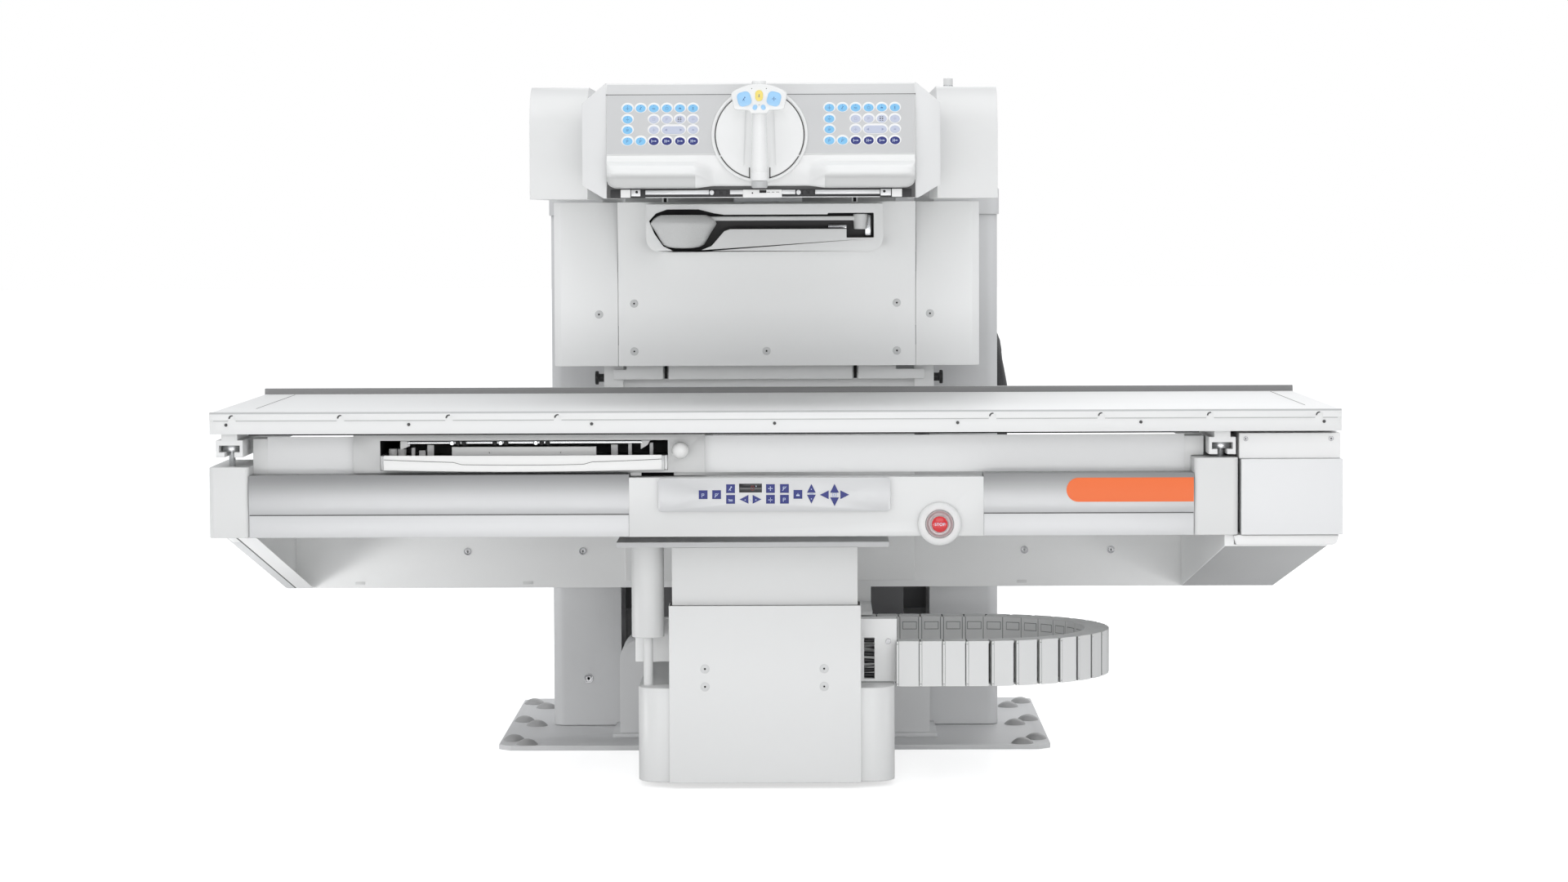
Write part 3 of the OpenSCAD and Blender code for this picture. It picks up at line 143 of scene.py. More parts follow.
soft_lamp("top_lamp", (0, -1.5, 4.2), (0, -0.6, 0.6), (4.5, 3.5), 50)
soft_lamp("left_lamp", (-4.2, -4.0, 2.6), (0, -0.6, 0.7), (2.5, 3.0), 24)
soft_lamp("right_lamp", (4.4, -3.6, 2.2), (0, -0.6, 0.7), (2.5, 3.0), 17)
soft_lamp("front_lamp", (0.3, -7.3, 2.5), (0, -0.6, 0.6), (4.0, 2.0), 38)
soft_lamp("low_lamp", (0.0, -4.2, 0.25), (0, -0.2, 0.45), (5.0, 0.4), 27)
soft_lamp("floor_lamp_left", (-1.60, -0.90, 0.07), (-0.5, -0.18, 0.42), (0.5, 0.2), 3.4)
soft_lamp("floor_lamp_right", (1.65, -0.90, 0.07), (0.5, -0.18, 0.42), (0.5, 0.2), 1.7)
soft_lamp("back_lamp", (1.2, 4.5, 3.0), (0, -0.2, 0.8), (4.0, 2.5), 40)

# ---- Stand: base plate, column and pedestal ----
# Thick plate on the floor and sheet-metal covers, all in grey powder coat with a
# fine orange-peel skin. Domed caps hide the nuts of the floor anchors.


def skin_group():
    """Colour that drifts a little, a roughness to match, and a pebbled skin."""
    group = bpy.data.node_groups.new("powder_skin", "ShaderNodeTree")
    face = group.interface
    for name, kind, value in (("Paint", "Color", (0.8, 0.8, 0.8, 1)), ("Drift", "Float", 0.03),
                              ("Gloss", "Float", 0.4), ("Grain", "Float", 500.0),
                              ("Depth", "Float", 0.1)):
        socket = face.new_socket(name, in_out="INPUT", socket_type="NodeSocket" + kind)
        socket.default_value = value
    for name, kind in (("Color", "Color"), ("Roughness", "Float"), ("Normal", "Vector")):
        face.new_socket(name, in_out="OUTPUT", socket_type="NodeSocket" + kind)
    come, go = group.nodes.new("NodeGroupInput"), group.nodes.new("NodeGroupOutput")
    place = add_node(group, "TexCoord")
    cloud = add_node(group, "TexNoise", {"Scale": 2.2, "Detail": 5})
    grain = add_node(group, "TexNoise", {"Detail": 2})
    swing = add_node(group, "Math", {1: 0.5})
    swing.operation = "SUBTRACT"
    shade, rough = add_node(group, "Math", {2: 1.0}), add_node(group, "Math", {1: 0.12})
    shade.operation = rough.operation = "MULTIPLY_ADD"
    tint = add_node(group, "VectorMath")
    tint.operation = "SCALE"
    bump = add_node(group, "Bump", {"Distance": 0.0005})
    wire(group,
         (place.outputs["Object"], cloud.inputs["Vector"]),
         (place.outputs["Object"], grain.inputs["Vector"]),
         (come.outputs["Grain"], grain.inputs["Scale"]),
         (cloud.outputs["Fac"], swing.inputs[0]),
         (swing.outputs[0], shade.inputs[0]),
         (come.outputs["Drift"], shade.inputs[1]),
         (come.outputs["Paint"], tint.inputs[0]),
         (shade.outputs[0], tint.inputs["Scale"]),
         (grain.outputs["Fac"], rough.inputs[0]),
         (come.outputs["Gloss"], rough.inputs[2]),
         (come.outputs["Depth"], bump.inputs["Strength"]),
         (grain.outputs["Fac"], bump.inputs["Height"]),
         (tint.outputs[0], go.inputs["Color"]),
         (rough.outputs[0], go.inputs["Roughness"]),
         (bump.outputs[0], go.inputs["Normal"]))
    return group


powder_skin = skin_group()


def skin(name, paint, gloss, grain=500.0, depth=0.1, drift=0.04, metallic=0.0, coat=0.0):
    """A painted, moulded or ground finish made from the powder skin."""
    finish = bpy.data.materials.new(name)
    finish.use_nodes = True
    tree = finish.node_tree
    shader = tree.nodes["Principled BSDF"]
    surface = add_node(tree, "Group")
    surface.node_tree = powder_skin
    for socket, value in (("Paint", (*paint, 1)), ("Drift", drift), ("Gloss", gloss),
                          ("Grain", grain), ("Depth", depth)):
        surface.inputs[socket].default_value = value
    for socket, out in (("Base Color", "Color"), ("Roughness", "Roughness"), ("Normal", "Normal")):
        tree.links.new(surface.outputs[out], shader.inputs[socket])
    shader.inputs["Metallic"].default_value = metallic
    shader.inputs["Coat Weight"].default_value = coat
    return finish


def plastic(name, paint, gloss, depth=0.03, **more):
    """A moulded or lacquered part with a fine, nearly even skin."""
    return skin(name, paint, gloss, grain=900, depth=depth, drift=0.02, **more)


def print_ink(name, paint):
    """Matt print on keys and panels."""
    return skin(name, paint, 0.5, grain=1500, depth=0.02, drift=0.0)


def pick(*pieces):
    """Only these objects selected, the first of them active."""
    if bpy.context.object and bpy.context.object.mode != "OBJECT":
        bpy.ops.object.mode_set(mode="OBJECT")
    bpy.ops.object.select_all(action="DESELECT")
    for piece in pieces:
        piece.select_set(True)
    bpy.context.view_layer.objects.active = pieces[0]


def paint_with(piece, finish):
    """One finish over the whole piece."""
    piece.data.materials.clear()
    piece.data.materials.append(finish)


def smooth(piece, angle):
    """Smooth shading, but for edges sharper than so many degrees."""
    pick(piece)
    bpy.ops.object.shade_smooth_by_angle(angle=math.radians(angle))


def reshape(piece, kind, **settings):
    """Applies a modifier with its settings to a piece."""
    pick(piece)
    bpy.ops.object.modifier_add(type=kind)
    modifier = piece.modifiers[-1]
    for setting, value in settings.items():
        setattr(modifier, setting, value)
    bpy.ops.object.modifier_apply(modifier=modifier.name)


def settle(piece, name, body, finish):
    """Names a finished piece, bakes its place into its mesh and hangs it on its body."""
    pick(piece)
    bpy.ops.object.transform_apply(location=True, rotation=True, scale=True)
    piece.name = piece.data.name = name
    if finish:
        paint_with(piece, finish)
    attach(piece, body)
    return piece


def round_edges(piece, width, segments=2, angle=30):
    """Rounds the sharp edges of a mesh and smooths its curved faces."""
    reshape(piece, "BEVEL", width=width, segments=segments, limit_method="ANGLE",
            angle_limit=math.radians(angle))
    smooth(piece, angle)


home = {node: body for body, held in frame["record"]["behaviour"]["bodies"].items()
        for node in held}


def copy_of(node, name):
    """A picked copy of a made part, its doubled corners merged, left in edit mode."""
    piece = bpy.data.objects.new(name, nodes[node].data.copy())
    scene.collection.objects.link(piece)
    pick(piece)
    bpy.ops.object.mode_set(mode="EDIT")
    bpy.ops.mesh.select_all(action="SELECT")
    bpy.ops.mesh.remove_doubles(threshold=0.00001)
    return piece


def finish_node(node, finish, width=0.001, segments=2):
    """A copy of a made part with rounded edges, in its finish, in that part's place."""
    piece = copy_of(node, node + "_finished")
    bpy.ops.mesh.dissolve_limited(angle_limit=math.radians(0.3))
    bpy.ops.object.mode_set(mode="OBJECT")
    round_edges(piece, width, segments)
    paint_with(piece, finish)
    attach(piece, home[node])
    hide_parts(node)
    return piece


stand_grey = skin("stand_grey", (0.74, 0.745, 0.75), 0.36, depth=0.14, drift=0.07)
cap_grey = skin("cap_grey", (0.42, 0.42, 0.42), 0.30, grain=260, depth=0.06)
spindle_steel = skin("spindle_steel", (0.52, 0.53, 0.54), 0.26, grain=900, depth=0.05, metallic=1.0)
finish_node("base_plate", stand_grey, 0.002, 3)
finish_node("anchor_caps", cap_grey, 0.001)
finish_node("column_covers", stand_grey, 0.0008)
finish_node("column_top_cap", stand_grey, 0.0025, 3)
finish_node("pedestal", stand_grey, 0.001)
for node, finish in (("column_frame", stand_grey), ("lift_spindle", spindle_steel)):
    paint_with(nodes[node], finish)


def screw(place, facing, radius, body, finish, slot="steel"):
    """A countersunk screw in its dished washer: a turned head, its cross recess drawn as a round
    pit.
    """
    bpy.ops.mesh.primitive_cylinder_add(vertices=24, radius=radius, depth=0.0024)
    head = bpy.context.object
    bpy.ops.object.mode_set(mode="EDIT")
    bm = bmesh.from_edit_mesh(head.data)
    for f in bm.faces:
        f.select = f.normal.z > 0.9
    bmesh.update_edit_mesh(head.data)
    bpy.ops.mesh.inset(thickness=radius * 0.22, depth=0)
    bpy.ops.mesh.inset(thickness=radius * 0.06, depth=-0.0006)
    bpy.ops.mesh.inset(thickness=radius * 0.40, depth=0)
    bpy.ops.mesh.inset(thickness=0.0, depth=-0.0010)
    bpy.ops.object.mode_set(mode="OBJECT")
    turn = Vector((0, 0, 1)).rotation_difference(Vector(facing).normalized())
    head.matrix_world = Matrix.Translation(place) @ turn.to_matrix().to_4x4()
    screw.count += 1
    round_edges(head, radius * 0.05, 1)
    return settle(head, f"screw_{screw.count:02d}", body, finish)


screw.count = 0
TO_FRONT = (0, -1, 0)
screw_lift, column_screw_r = 0.0004, 0.010
screw_steel = skin("screw_steel", (0.46, 0.46, 0.47), 0.30, grain=1200, depth=0.05, metallic=1.0)
column_low, column_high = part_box("column_covers")
plate_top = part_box("base_plate")[1][2]
for side in (-1, 1):
    screw((side * 0.395, column_low[1] - screw_lift, plate_top + 0.10), TO_FRONT,
          column_screw_r, "stand", screw_steel)
    for height in (0.25, 0.60, 0.95):
        screw((side * (column_high[0] + screw_lift), 0.13, height), (side, 0, 0),
              column_screw_r, "stand", screw_steel)

# ---- Cable sleeve behind the column ----
# A woven textile sleeve round the bundle of cables, led out of the rear cover in
# one long bow. It is slack over the bundle, so it falls in ring-shaped wrinkles.

sleeve = copy_of("cable_sleeve", "cable_sleeve_woven")
bpy.ops.mesh.tris_convert_to_quads()
bpy.ops.mesh.subdivide(number_cuts=5, smoothness=1.0)
bpy.ops.object.mode_set(mode="OBJECT")
wrinkle = bpy.data.textures.new("sleeve_wrinkle", "CLOUDS")
wrinkle.noise_scale = 0.055
reshape(sleeve, "DISPLACE", texture=wrinkle, strength=0.016, mid_level=0.72)
bpy.ops.object.shade_smooth()

weave = bpy.data.materials.new("sleeve_weave")
weave.use_nodes = True
weave_tree = weave.node_tree
weave_shader = weave_tree.nodes["Principled BSDF"]
weave_shader.inputs["Roughness"].default_value = 0.85
weave_shader.inputs["Sheen Weight"].default_value = 0.3
weave_place = add_node(weave_tree, "TexCoord")
weave_mix = add_node(weave_tree, "Math")
weave_mix.operation = "MULTIPLY"
for number, direction in enumerate("XZ"):
    wave = add_node(weave_tree, "TexWave", {"Scale": 190, "Distortion": 1.5})
    wave.bands_direction = direction
    wire(weave_tree,
         (weave_place.outputs["Object"], wave.inputs["Vector"]),
         (wave.outputs["Fac"], weave_mix.inputs[number]))
weave_bump = add_node(weave_tree, "Bump", {"Strength": 0.6, "Distance": 0.001})
weave_ramp = add_node(weave_tree, "ValToRGB")
weave_ramp.color_ramp.elements[0].color = (0.018, 0.018, 0.02, 1)
weave_ramp.color_ramp.elements[1].color = (0.075, 0.075, 0.08, 1)
wire(weave_tree,
     (weave_mix.outputs[0], weave_bump.inputs["Height"]),
     (weave_mix.outputs[0], weave_ramp.inputs["Fac"]),
     (weave_ramp.outputs["Color"], weave_shader.inputs["Base Color"]),
     (weave_bump.outputs[0], weave_shader.inputs["Normal"]))
paint_with(sleeve, weave)
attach(sleeve, "stand")
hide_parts("cable_sleeve")

# ---- Lift carriage and tilt bearing ----
# The welded slide that climbs in the column, black, with the ground ring in which
# the frame's hub turns.

lift_black = skin("lift_black", (0.15, 0.15, 0.155), 0.42, depth=0.12)
bearing_steel = skin("bearing_steel", (0.50, 0.51, 0.52), 0.24, grain=1100, depth=0.04,
                     metallic=1.0)
finish_node("lift_carriage", lift_black, 0.0015)
finish_node("tilt_bearing", bearing_steel, 0.0015)

# ---- Tilting frame: rear beam, end plates and front beam ----
# A folded steel beam with the hub, two end plates whose lower edges rise to the
# front, and a box beam across the front. All are in white powder coat.


def repaint(piece, finish, chosen):
    """Gives a further finish to the faces that are chosen by a test."""
    piece.data.materials.append(finish)
    for face in piece.data.polygons:
        if chosen(face):
            face.material_index = len(piece.data.materials) - 1


frame_white = skin("frame_white", (0.94, 0.945, 0.94), 0.34, depth=0.10, drift=0.03)
shade_grey = skin("shade_grey", (0.84, 0.845, 0.84), 0.34, depth=0.10, drift=0.04)
slope_shade_grey = skin("slope_shade_grey", (0.42, 0.425, 0.425), 0.36, grain=420, depth=0.14, drift=0.05)
rail_steel = skin("rail_steel", (0.55, 0.56, 0.57), 0.20, grain=1400, depth=0.03, metallic=1.0)
finish_node("rear_beam", frame_white, 0.002)
finish_node("left_end_plate", frame_white, 0.003, 3)
right_frame = finish_node("right_end_frame", frame_white, 0.0015)
# Painted shade: the right end frame's sloping underside faces down, so it takes a dark grey instead
# of its white.
repaint(right_frame, slope_shade_grey, lambda face: (
    face.normal.z < -0.2 and face.normal.y < -0.05 and face.area > 0.02))
finish_node("front_beam", frame_white, 0.002)
finish_node("travel_rails", rail_steel, 0.0012)
finish_node("cassette_guide_rod", rail_steel, 0.001)
finish_node("guide_rollers", rail_steel, 0.001)

beam_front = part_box("rear_beam")[0][1] + 0.2250
beam_screw_z, beam_screw_r = 0.388, 0.008
for along in (-0.64, -0.40, 0.52, 0.70):
    screw((along, beam_front - screw_lift, beam_screw_z), TO_FRONT, beam_screw_r,
          "tilting_frame", screw_steel)

# Three small embossed bars stand on the beam's front face
beam_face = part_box("travel_rails")[1][1]
emboss_size, emboss_z = (0.020, 0.0016, 0.006), 0.322
for along in (-0.865, -0.515, 0.515):
    bpy.ops.mesh.primitive_cube_add(size=1, location=(along, beam_face - 0.0006, emboss_z))
    mark = bpy.context.object
    mark.scale = emboss_size
    bpy.ops.object.transform_apply(location=False, rotation=False, scale=True)
    round_edges(mark, 0.0006, 2)
    settle(mark, f"beam_emboss_{int(1000 + along * 1000)}", "tilting_frame", shade_grey)

# ---- Front skirts, end caps and connection box ----
# Drawn aluminium skirts in satin silver, moulded white end caps over the plates'
# front ends, and a silver box with a white lid at the right for the wiring.


def satin(name, paint, gloss, stretch):
    """Drawn or brushed metal: fine lines along one axis under a satin skin."""
    finish = skin(name, paint, gloss, grain=700, depth=0.04, drift=0.03, metallic=0.3)
    tree = finish.node_tree
    pull = add_node(tree, "Mapping", {"Scale": stretch})
    lines = add_node(tree, "TexNoise", {"Scale": 60, "Detail": 3})
    rough = add_node(tree, "Math", {1: 0.16, 2: gloss - 0.08})
    rough.operation = "MULTIPLY_ADD"
    wire(tree,
         (add_node(tree, "TexCoord").outputs["Object"], pull.inputs["Vector"]),
         (pull.outputs[0], lines.inputs["Vector"]),
         (lines.outputs["Fac"], rough.inputs[0]),
         (rough.outputs[0], tree.nodes["Principled BSDF"].inputs["Roughness"]))
    return finish


silver_satin = satin("silver_satin", (0.56, 0.565, 0.57), 0.38, (0.3, 12, 12))


def shade_up(finish, low, high, shade):
    """The finish changes by a factor toward a height, as where light or shade falls on it."""
    tree = finish.node_tree
    shader = tree.nodes["Principled BSDF"]
    split = add_node(tree, "SeparateXYZ")
    ramp = add_node(tree, "MapRange", {"From Min": low, "From Max": high})
    ramp.interpolation_type = "SMOOTHSTEP"
    mix = add_node(tree, "Mix")
    mix.data_type, mix.blend_type = "RGBA", "MULTIPLY"
    mix.inputs["B"].default_value = (shade, shade, shade, 1)
    paint = shader.inputs["Base Color"].links[0].from_socket
    wire(tree,
         (add_node(tree, "TexCoord").outputs["Object"], split.inputs[0]),
         (split.outputs["Z"], ramp.inputs["Value"]),
         (ramp.outputs["Result"], mix.inputs["Factor"]),
         (paint, mix.inputs["A"]),
         (mix.outputs["Result"], shader.inputs["Base Color"]))


# Painted shade: the skirts' silver darkens toward their top edge, under the tabletop's overhang.
shade_up(silver_satin, 0.548, 0.608, 0.48)
box_silver = skin("box_silver", (0.78, 0.785, 0.79), 0.42, grain=700, depth=0.10, drift=0.03)
cap_white = plastic("cap_white", (0.70, 0.705, 0.70), 0.30, depth=0.05)
lid_white = skin("lid_white", (0.86, 0.86, 0.855), 0.34, depth=0.08, drift=0.02)
finish_node("front_rails", silver_satin, 0.0015)
finish_node("end_caps", cap_white, 0.006, 4)
junction = finish_node("junction_box", box_silver, 0.004, 3)
box_low, box_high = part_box("junction_box")
lid_floor = box_high[2] - 0.0478
repaint(junction, lid_white, lambda face: face.center.z > lid_floor)
for along in (box_low[0] + 0.012, box_high[0] - 0.020):
    screw((along, box_low[1] + 0.0146, box_high[2] - 0.011), TO_FRONT, 0.0045,
          "tilting_frame", screw_steel)

# A plain orange stripe with a round left end marks the right skirt
stripe_orange = plastic("stripe_orange", (0.84, 0.15, 0.025), 0.32)
skirt_low, skirt_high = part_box("front_rails")
stripe_half = 0.0225
stripe_x, stripe_end = 0.551 + stripe_half, skirt_high[0] - 0.0005
stripe_mid = skirt_high[2] - 0.031
joint_z = skirt_low[2] + 0.042
bulge_mid, bulge_r = (joint_z + skirt_high[2]) / 2, 0.240
bpy.ops.mesh.primitive_circle_add(vertices=48, radius=stripe_half, fill_type="NGON",
                                  location=(stripe_x, 0, stripe_mid),
                                  rotation=(math.pi / 2, 0, 0))
stripe = bpy.context.object
bpy.ops.object.transform_apply(location=True, rotation=True, scale=True)
bm = bmesh.new()
bm.from_mesh(stripe.data)
for v in bm.verts:
    if v.co.x > stripe_x:
        v.co.x = stripe_end
        if abs(v.co.z - stripe_mid) > 0.0001:
            v.co.z = stripe_mid + math.copysign(stripe_half, v.co.z - stripe_mid)
bmesh.ops.remove_doubles(bm, verts=bm.verts, dist=0.00005)
for step in range(1, 14):
    height = stripe_mid - stripe_half + step * stripe_half / 7
    bmesh.ops.bisect_plane(bm, geom=bm.verts[:] + bm.edges[:] + bm.faces[:],
                           plane_co=(0, 0, height), plane_no=(0, 0, 1))
for v in bm.verts:
    drop = v.co.z - bulge_mid
    v.co.y = skirt_low[1] + bulge_r - math.sqrt(bulge_r ** 2 - drop ** 2) - 0.0006
bm.to_mesh(stripe.data)
bm.free()
settle(stripe, "orange_stripe", "tilting_frame", stripe_orange)

# ---- Control panel on the table's front ----
# A silver bezel holds rubber keys, square and three-cornered, that are printed in
# white. A small dark display with red digits lies between them.


def made_of(bm, name):
    """The mesh being built, as a new object of the scene."""
    mesh = bpy.data.meshes.new(name)
    bm.to_mesh(mesh)
    bm.free()
    piece = bpy.data.objects.new(name, mesh)
    scene.collection.objects.link(piece)
    return piece


def plate(name, outlines, at, thick, body, finish, rim=0.0):
    """Thin pieces cut to flat outlines, set on a surface: at(u, v, w) gives a place."""
    bm = bmesh.new()
    for outline in outlines:
        face = bm.faces.new([bm.verts.new(at(u, v, 0)) for u, v in outline])
        if thick:
            out = bmesh.ops.extrude_face_region(bm, geom=[face])
            top = [g for g in out["geom"] if isinstance(g, bmesh.types.BMVert)]
            bmesh.ops.translate(bm, verts=top, vec=at(0, 0, thick) - at(0, 0, 0))
    bmesh.ops.recalc_face_normals(bm, faces=bm.faces)
    if not thick:
        out_way = at(0, 0, 1) - at(0, 0, 0)
        for face in bm.faces:
            if face.normal.dot(out_way) < 0:
                face.normal_flip()
    piece = made_of(bm, name)
    if rim:
        round_edges(piece, rim, 2)
    return settle(piece, name, body, finish)


def on_front(depth):
    """Places before an upright face at a depth: across, height, and out from it."""
    return lambda u, v, w: Vector((u, depth - w, v))


def rect(left, right, low, high):
    """The corners of a rectangle."""
    return [(left, low), (right, low), (right, high), (left, high)]


def arc_of(cx, cy, r, a0, a1, count):
    """Points along an arc, from one angle to another in so many steps."""
    turns = [math.radians(a0 + (a1 - a0) * i / count) for i in range(count + 1)]
    return [(cx + r * math.cos(turn), cy + r * math.sin(turn)) for turn in turns]


def ring_of(cx, cy, r, count=20):
    """Points round a circle."""
    return arc_of(cx, cy, r, 0, 360, count)[:-1]


def bar_of(ax, ay, bx, by, width):
    """A straight stroke from one point to another."""
    along = Vector((bx - ax, by - ay)).normalized()
    side = Vector((-along.y, along.x)) * width / 2
    return [(ax + side.x, ay + side.y), (bx + side.x, by + side.y),
            (bx - side.x, by - side.y), (ax - side.x, ay - side.y)]


def turned_by(points, turn, cx, cy):
    """Points turned by so many degrees and set round a centre."""
    a = math.radians(turn)
    return [(cx + x * math.cos(a) - y * math.sin(a), cy + x * math.sin(a) + y * math.cos(a))
            for x, y in points]


def arrow_of(cx, cy, size, turn):
    """A three-cornered arrow that points up, turned by so many degrees."""
    half = size / 2
    return turned_by([(-half, -half), (half, -half), (0, half)], turn, cx, cy)


# Small drawings for the keys, in a square from -1 to 1
SIGNS = {
    "figure": [ring_of(0.25, 0.60, 0.26, 10), bar_of(0.10, 0.30, -0.35, -0.25, 0.30),
               bar_of(-0.35, -0.20, -0.60, -0.75, 0.18), bar_of(-0.30, -0.25, 0.15, -0.70, 0.18)],
    "lying": [ring_of(-0.62, 0.12, 0.20, 10), bar_of(-0.40, 0.0, 0.75, 0.0, 0.26),
              bar_of(-0.75, -0.45, 0.75, -0.45, 0.14)],
    "four_ways": [bar_of(-0.45, 0, 0.45, 0, 0.14), bar_of(0, -0.45, 0, 0.45, 0.14),
                  arrow_of(0, 0.68, 0.42, 0), arrow_of(0, -0.68, 0.42, 180),
                  arrow_of(-0.68, 0, 0.42, 90), arrow_of(0.68, 0, 0.42, -90)],
    "inward": [bar_of(0, -0.85, 0, 0.85, 0.12), arrow_of(-0.34, 0, 0.42, -90),
               arrow_of(0.34, 0, 0.42, 90), bar_of(-0.85, 0, -0.5, 0, 0.12),
               bar_of(0.5, 0, 0.85, 0, 0.12)],
    "flag": [bar_of(-0.45, -0.70, -0.45, 0.70, 0.16), bar_of(-0.45, 0.60, 0.35, 0.60, 0.16),
             bar_of(-0.45, 0.05, 0.35, 0.05, 0.16), bar_of(0.30, 0.66, 0.30, -0.01, 0.16)],
    "struck_flag": [bar_of(-0.45, -0.70, -0.45, 0.70, 0.16), bar_of(-0.45, 0.60, 0.35, 0.60, 0.16),
                    bar_of(-0.45, 0.05, 0.30, 0.05, 0.16), bar_of(-0.80, -0.75, 0.80, 0.80, 0.14)],
    "lamp": [ring_of(0, 0.35, 0.30, 12), bar_of(0, 0.1, 0, -0.5, 0.18),
             bar_of(-0.45, -0.6, 0.45, -0.6, 0.22)],
    "frame": [bar_of(-0.7, 0.5, 0.7, 0.5, 0.14), bar_of(-0.7, -0.5, 0.7, -0.5, 0.14),
              bar_of(-0.64, -0.5, -0.64, 0.5, 0.14), bar_of(0.64, -0.5, 0.64, 0.5, 0.14)],
    "lungs": [ring_of(-0.32, -0.05, 0.32, 10), ring_of(0.32, -0.05, 0.32, 10),
              bar_of(0, 0, 0, 0.75, 0.14)],
    "tick": [bar_of(-0.5, 0.0, -0.1, -0.45, 0.2), bar_of(-0.18, -0.42, 0.6, 0.55, 0.2)],
    "dot": [ring_of(0, 0, 0.34, 12)],
    "lines": [bar_of(-0.7, 0.35, 0.7, 0.35, 0.16), bar_of(-0.7, -0.05, 0.7, -0.05, 0.16),
              bar_of(-0.7, -0.45, 0.3, -0.45, 0.16)],
}


def sign(kind, cx, cy, size):
    """One of the drawings, at a place and a size."""
    return [[(cx + x * size, cy + y * size) for x, y in part] for part in SIGNS[kind]]


bezel_silver = skin("bezel_silver", (0.56, 0.565, 0.57), 0.32, grain=1300, depth=0.03, metallic=0.3)
key_navy = skin("key_navy", (0.022, 0.030, 0.19), 0.36, grain=1200, depth=0.05, drift=0.02)
screen_black = skin("screen_black", (0.012, 0.012, 0.014), 0.08, grain=60, depth=0.01, drift=0.0)
print_white = print_ink("print_white", (0.62, 0.70, 0.85))
panel = finish_node("side_control_panel", bezel_silver, 0.0005, 2)
panel_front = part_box("side_control_panel")[0][1]
panel_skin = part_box("centre_cover")[0][1] - 0.0102
screen_left, screen_right, screen_foot = -0.057, -0.015, 0.5715
repaint(panel, key_navy, lambda face: face.center.y < panel_skin)
repaint(panel, screen_black, lambda face: (
    face.center.y < panel_skin and screen_left <= face.center.x <= screen_right
    and face.center.z > screen_foot))
on_panel = on_front(panel_front - 0.00012)
panel_signs = []
for kind, x, z in (("flag", -0.124, 0.5675), ("struck_flag", -0.099, 0.5675),
                   ("figure", -0.073, 0.580), ("lying", -0.073, 0.559),
                   ("four_ways", 0.001, 0.580), ("inward", 0.001, 0.559),
                   ("struck_flag", 0.027, 0.580), ("flag", 0.027, 0.559),
                   ("lungs", 0.052, 0.5675)):
    panel_signs += sign(kind, x, z, 0.0050)
for x, z in ((-0.046, 0.559), (-0.026, 0.559), (0.077, 0.5785), (0.077, 0.5605)):
    panel_signs += sign("dot", x, z, 0.0026)
plate("panel_signs", panel_signs, on_panel, 0, "tilting_frame", print_white)
digit_red = skin("digit_red", (0.16, 0.008, 0.008), 0.3, grain=900, depth=0.02, drift=0.0)
digit = [(-0.0345, 0.577), (-0.0345, 0.585), (-0.030, 0.585), (-0.030, 0.577)]
plate("panel_digits", [bar_of(*digit[0], *digit[1], 0.0012), bar_of(*digit[0], *digit[3], 0.0012),
                       bar_of(*digit[3], *digit[2], 0.0012), bar_of(*digit[1], *digit[2], 0.0012)],
      on_panel, 0, "tilting_frame", digit_red)
plate("panel_lamp", [ring_of(-0.0255, 0.5845, 0.0010, 12)], on_panel, 0, "tilting_frame",
      print_white)
print_blue = print_ink("print_blue", (0.22, 0.30, 0.55))
plate("panel_marks", sign("frame", 0.120, 0.568, 0.0060) + sign("dot", 0.120, 0.568, 0.0040)
      + [bar_of(0.073, 0.5695, 0.081, 0.5695, 0.0014),
         bar_of(-0.038, 0.5605, -0.034, 0.5560, 0.0008)],
      on_front(panel_skin + 0.0001), 0, "tilting_frame", print_blue)

# ---- Emergency stop ----
# A turned white flange with a domed lip, a silver cup inside it and a red mushroom
# button moulded with the word STOP.

collar_low, collar_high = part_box("estop_collar")
collar_r = (collar_high[0] - collar_low[0]) / 2
collar_depth = collar_high[1] - collar_low[1]
stop_x = (collar_low[0] + collar_high[0]) / 2
stop_z = (collar_low[2] + collar_high[2]) / 2


def turned(name, profile, place, facing, body, finish, steps=64, sharp=35):
    """A piece turned on a lathe from its half profile, (radius, height) pairs."""
    bm = bmesh.new()
    verts = [bm.verts.new((r, 0, h)) for r, h in profile]
    edges = [bm.edges.new(pair) for pair in zip(verts, verts[1:])]
    bmesh.ops.spin(bm, geom=verts + edges, cent=(0, 0, 0), axis=(0, 0, 1),
                   angle=2 * math.pi, steps=steps, use_duplicate=False)
    bmesh.ops.remove_doubles(bm, verts=bm.verts, dist=0.00002)
    bmesh.ops.dissolve_degenerate(bm, dist=0.00001, edges=bm.edges)
    bmesh.ops.recalc_face_normals(bm, faces=bm.faces)
    piece = made_of(bm, name)
    turn = Vector((0, 0, 1)).rotation_difference(Vector(facing).normalized())
    piece.matrix_world = Matrix.Translation(place) @ turn.to_matrix().to_4x4()
    smooth(piece, sharp)
    return settle(piece, name, body, finish)


flange_white = plastic("flange_white", (0.72, 0.725, 0.72), 0.26)
cup_silver = skin("cup_silver", (0.70, 0.705, 0.71), 0.30, grain=1300, depth=0.03, metallic=0.4)
stop_red = plastic("stop_red", (0.62, 0.012, 0.020), 0.14, depth=0.02, coat=0.6)
flange = turned("estop_flange",
                [(0.0078, 0.0005), (collar_r - 0.002, 0.0005), (collar_r, 0.0025),
                 (collar_r, collar_depth - 0.005), (collar_r - 0.0015, collar_depth - 0.002),
                 (collar_r - 0.004, collar_depth - 0.0006), (collar_r - 0.007, collar_depth),
                 (0.0285, collar_depth), (0.0270, collar_depth - 0.0005),
                 (0.0262, collar_depth - 0.002), (0.0258, 0.0055), (0.0078, 0.0055),
                 (0.0078, 0.0005)],
                (stop_x, collar_high[1], stop_z), TO_FRONT, "tilting_frame", flange_white)
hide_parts("estop_collar")
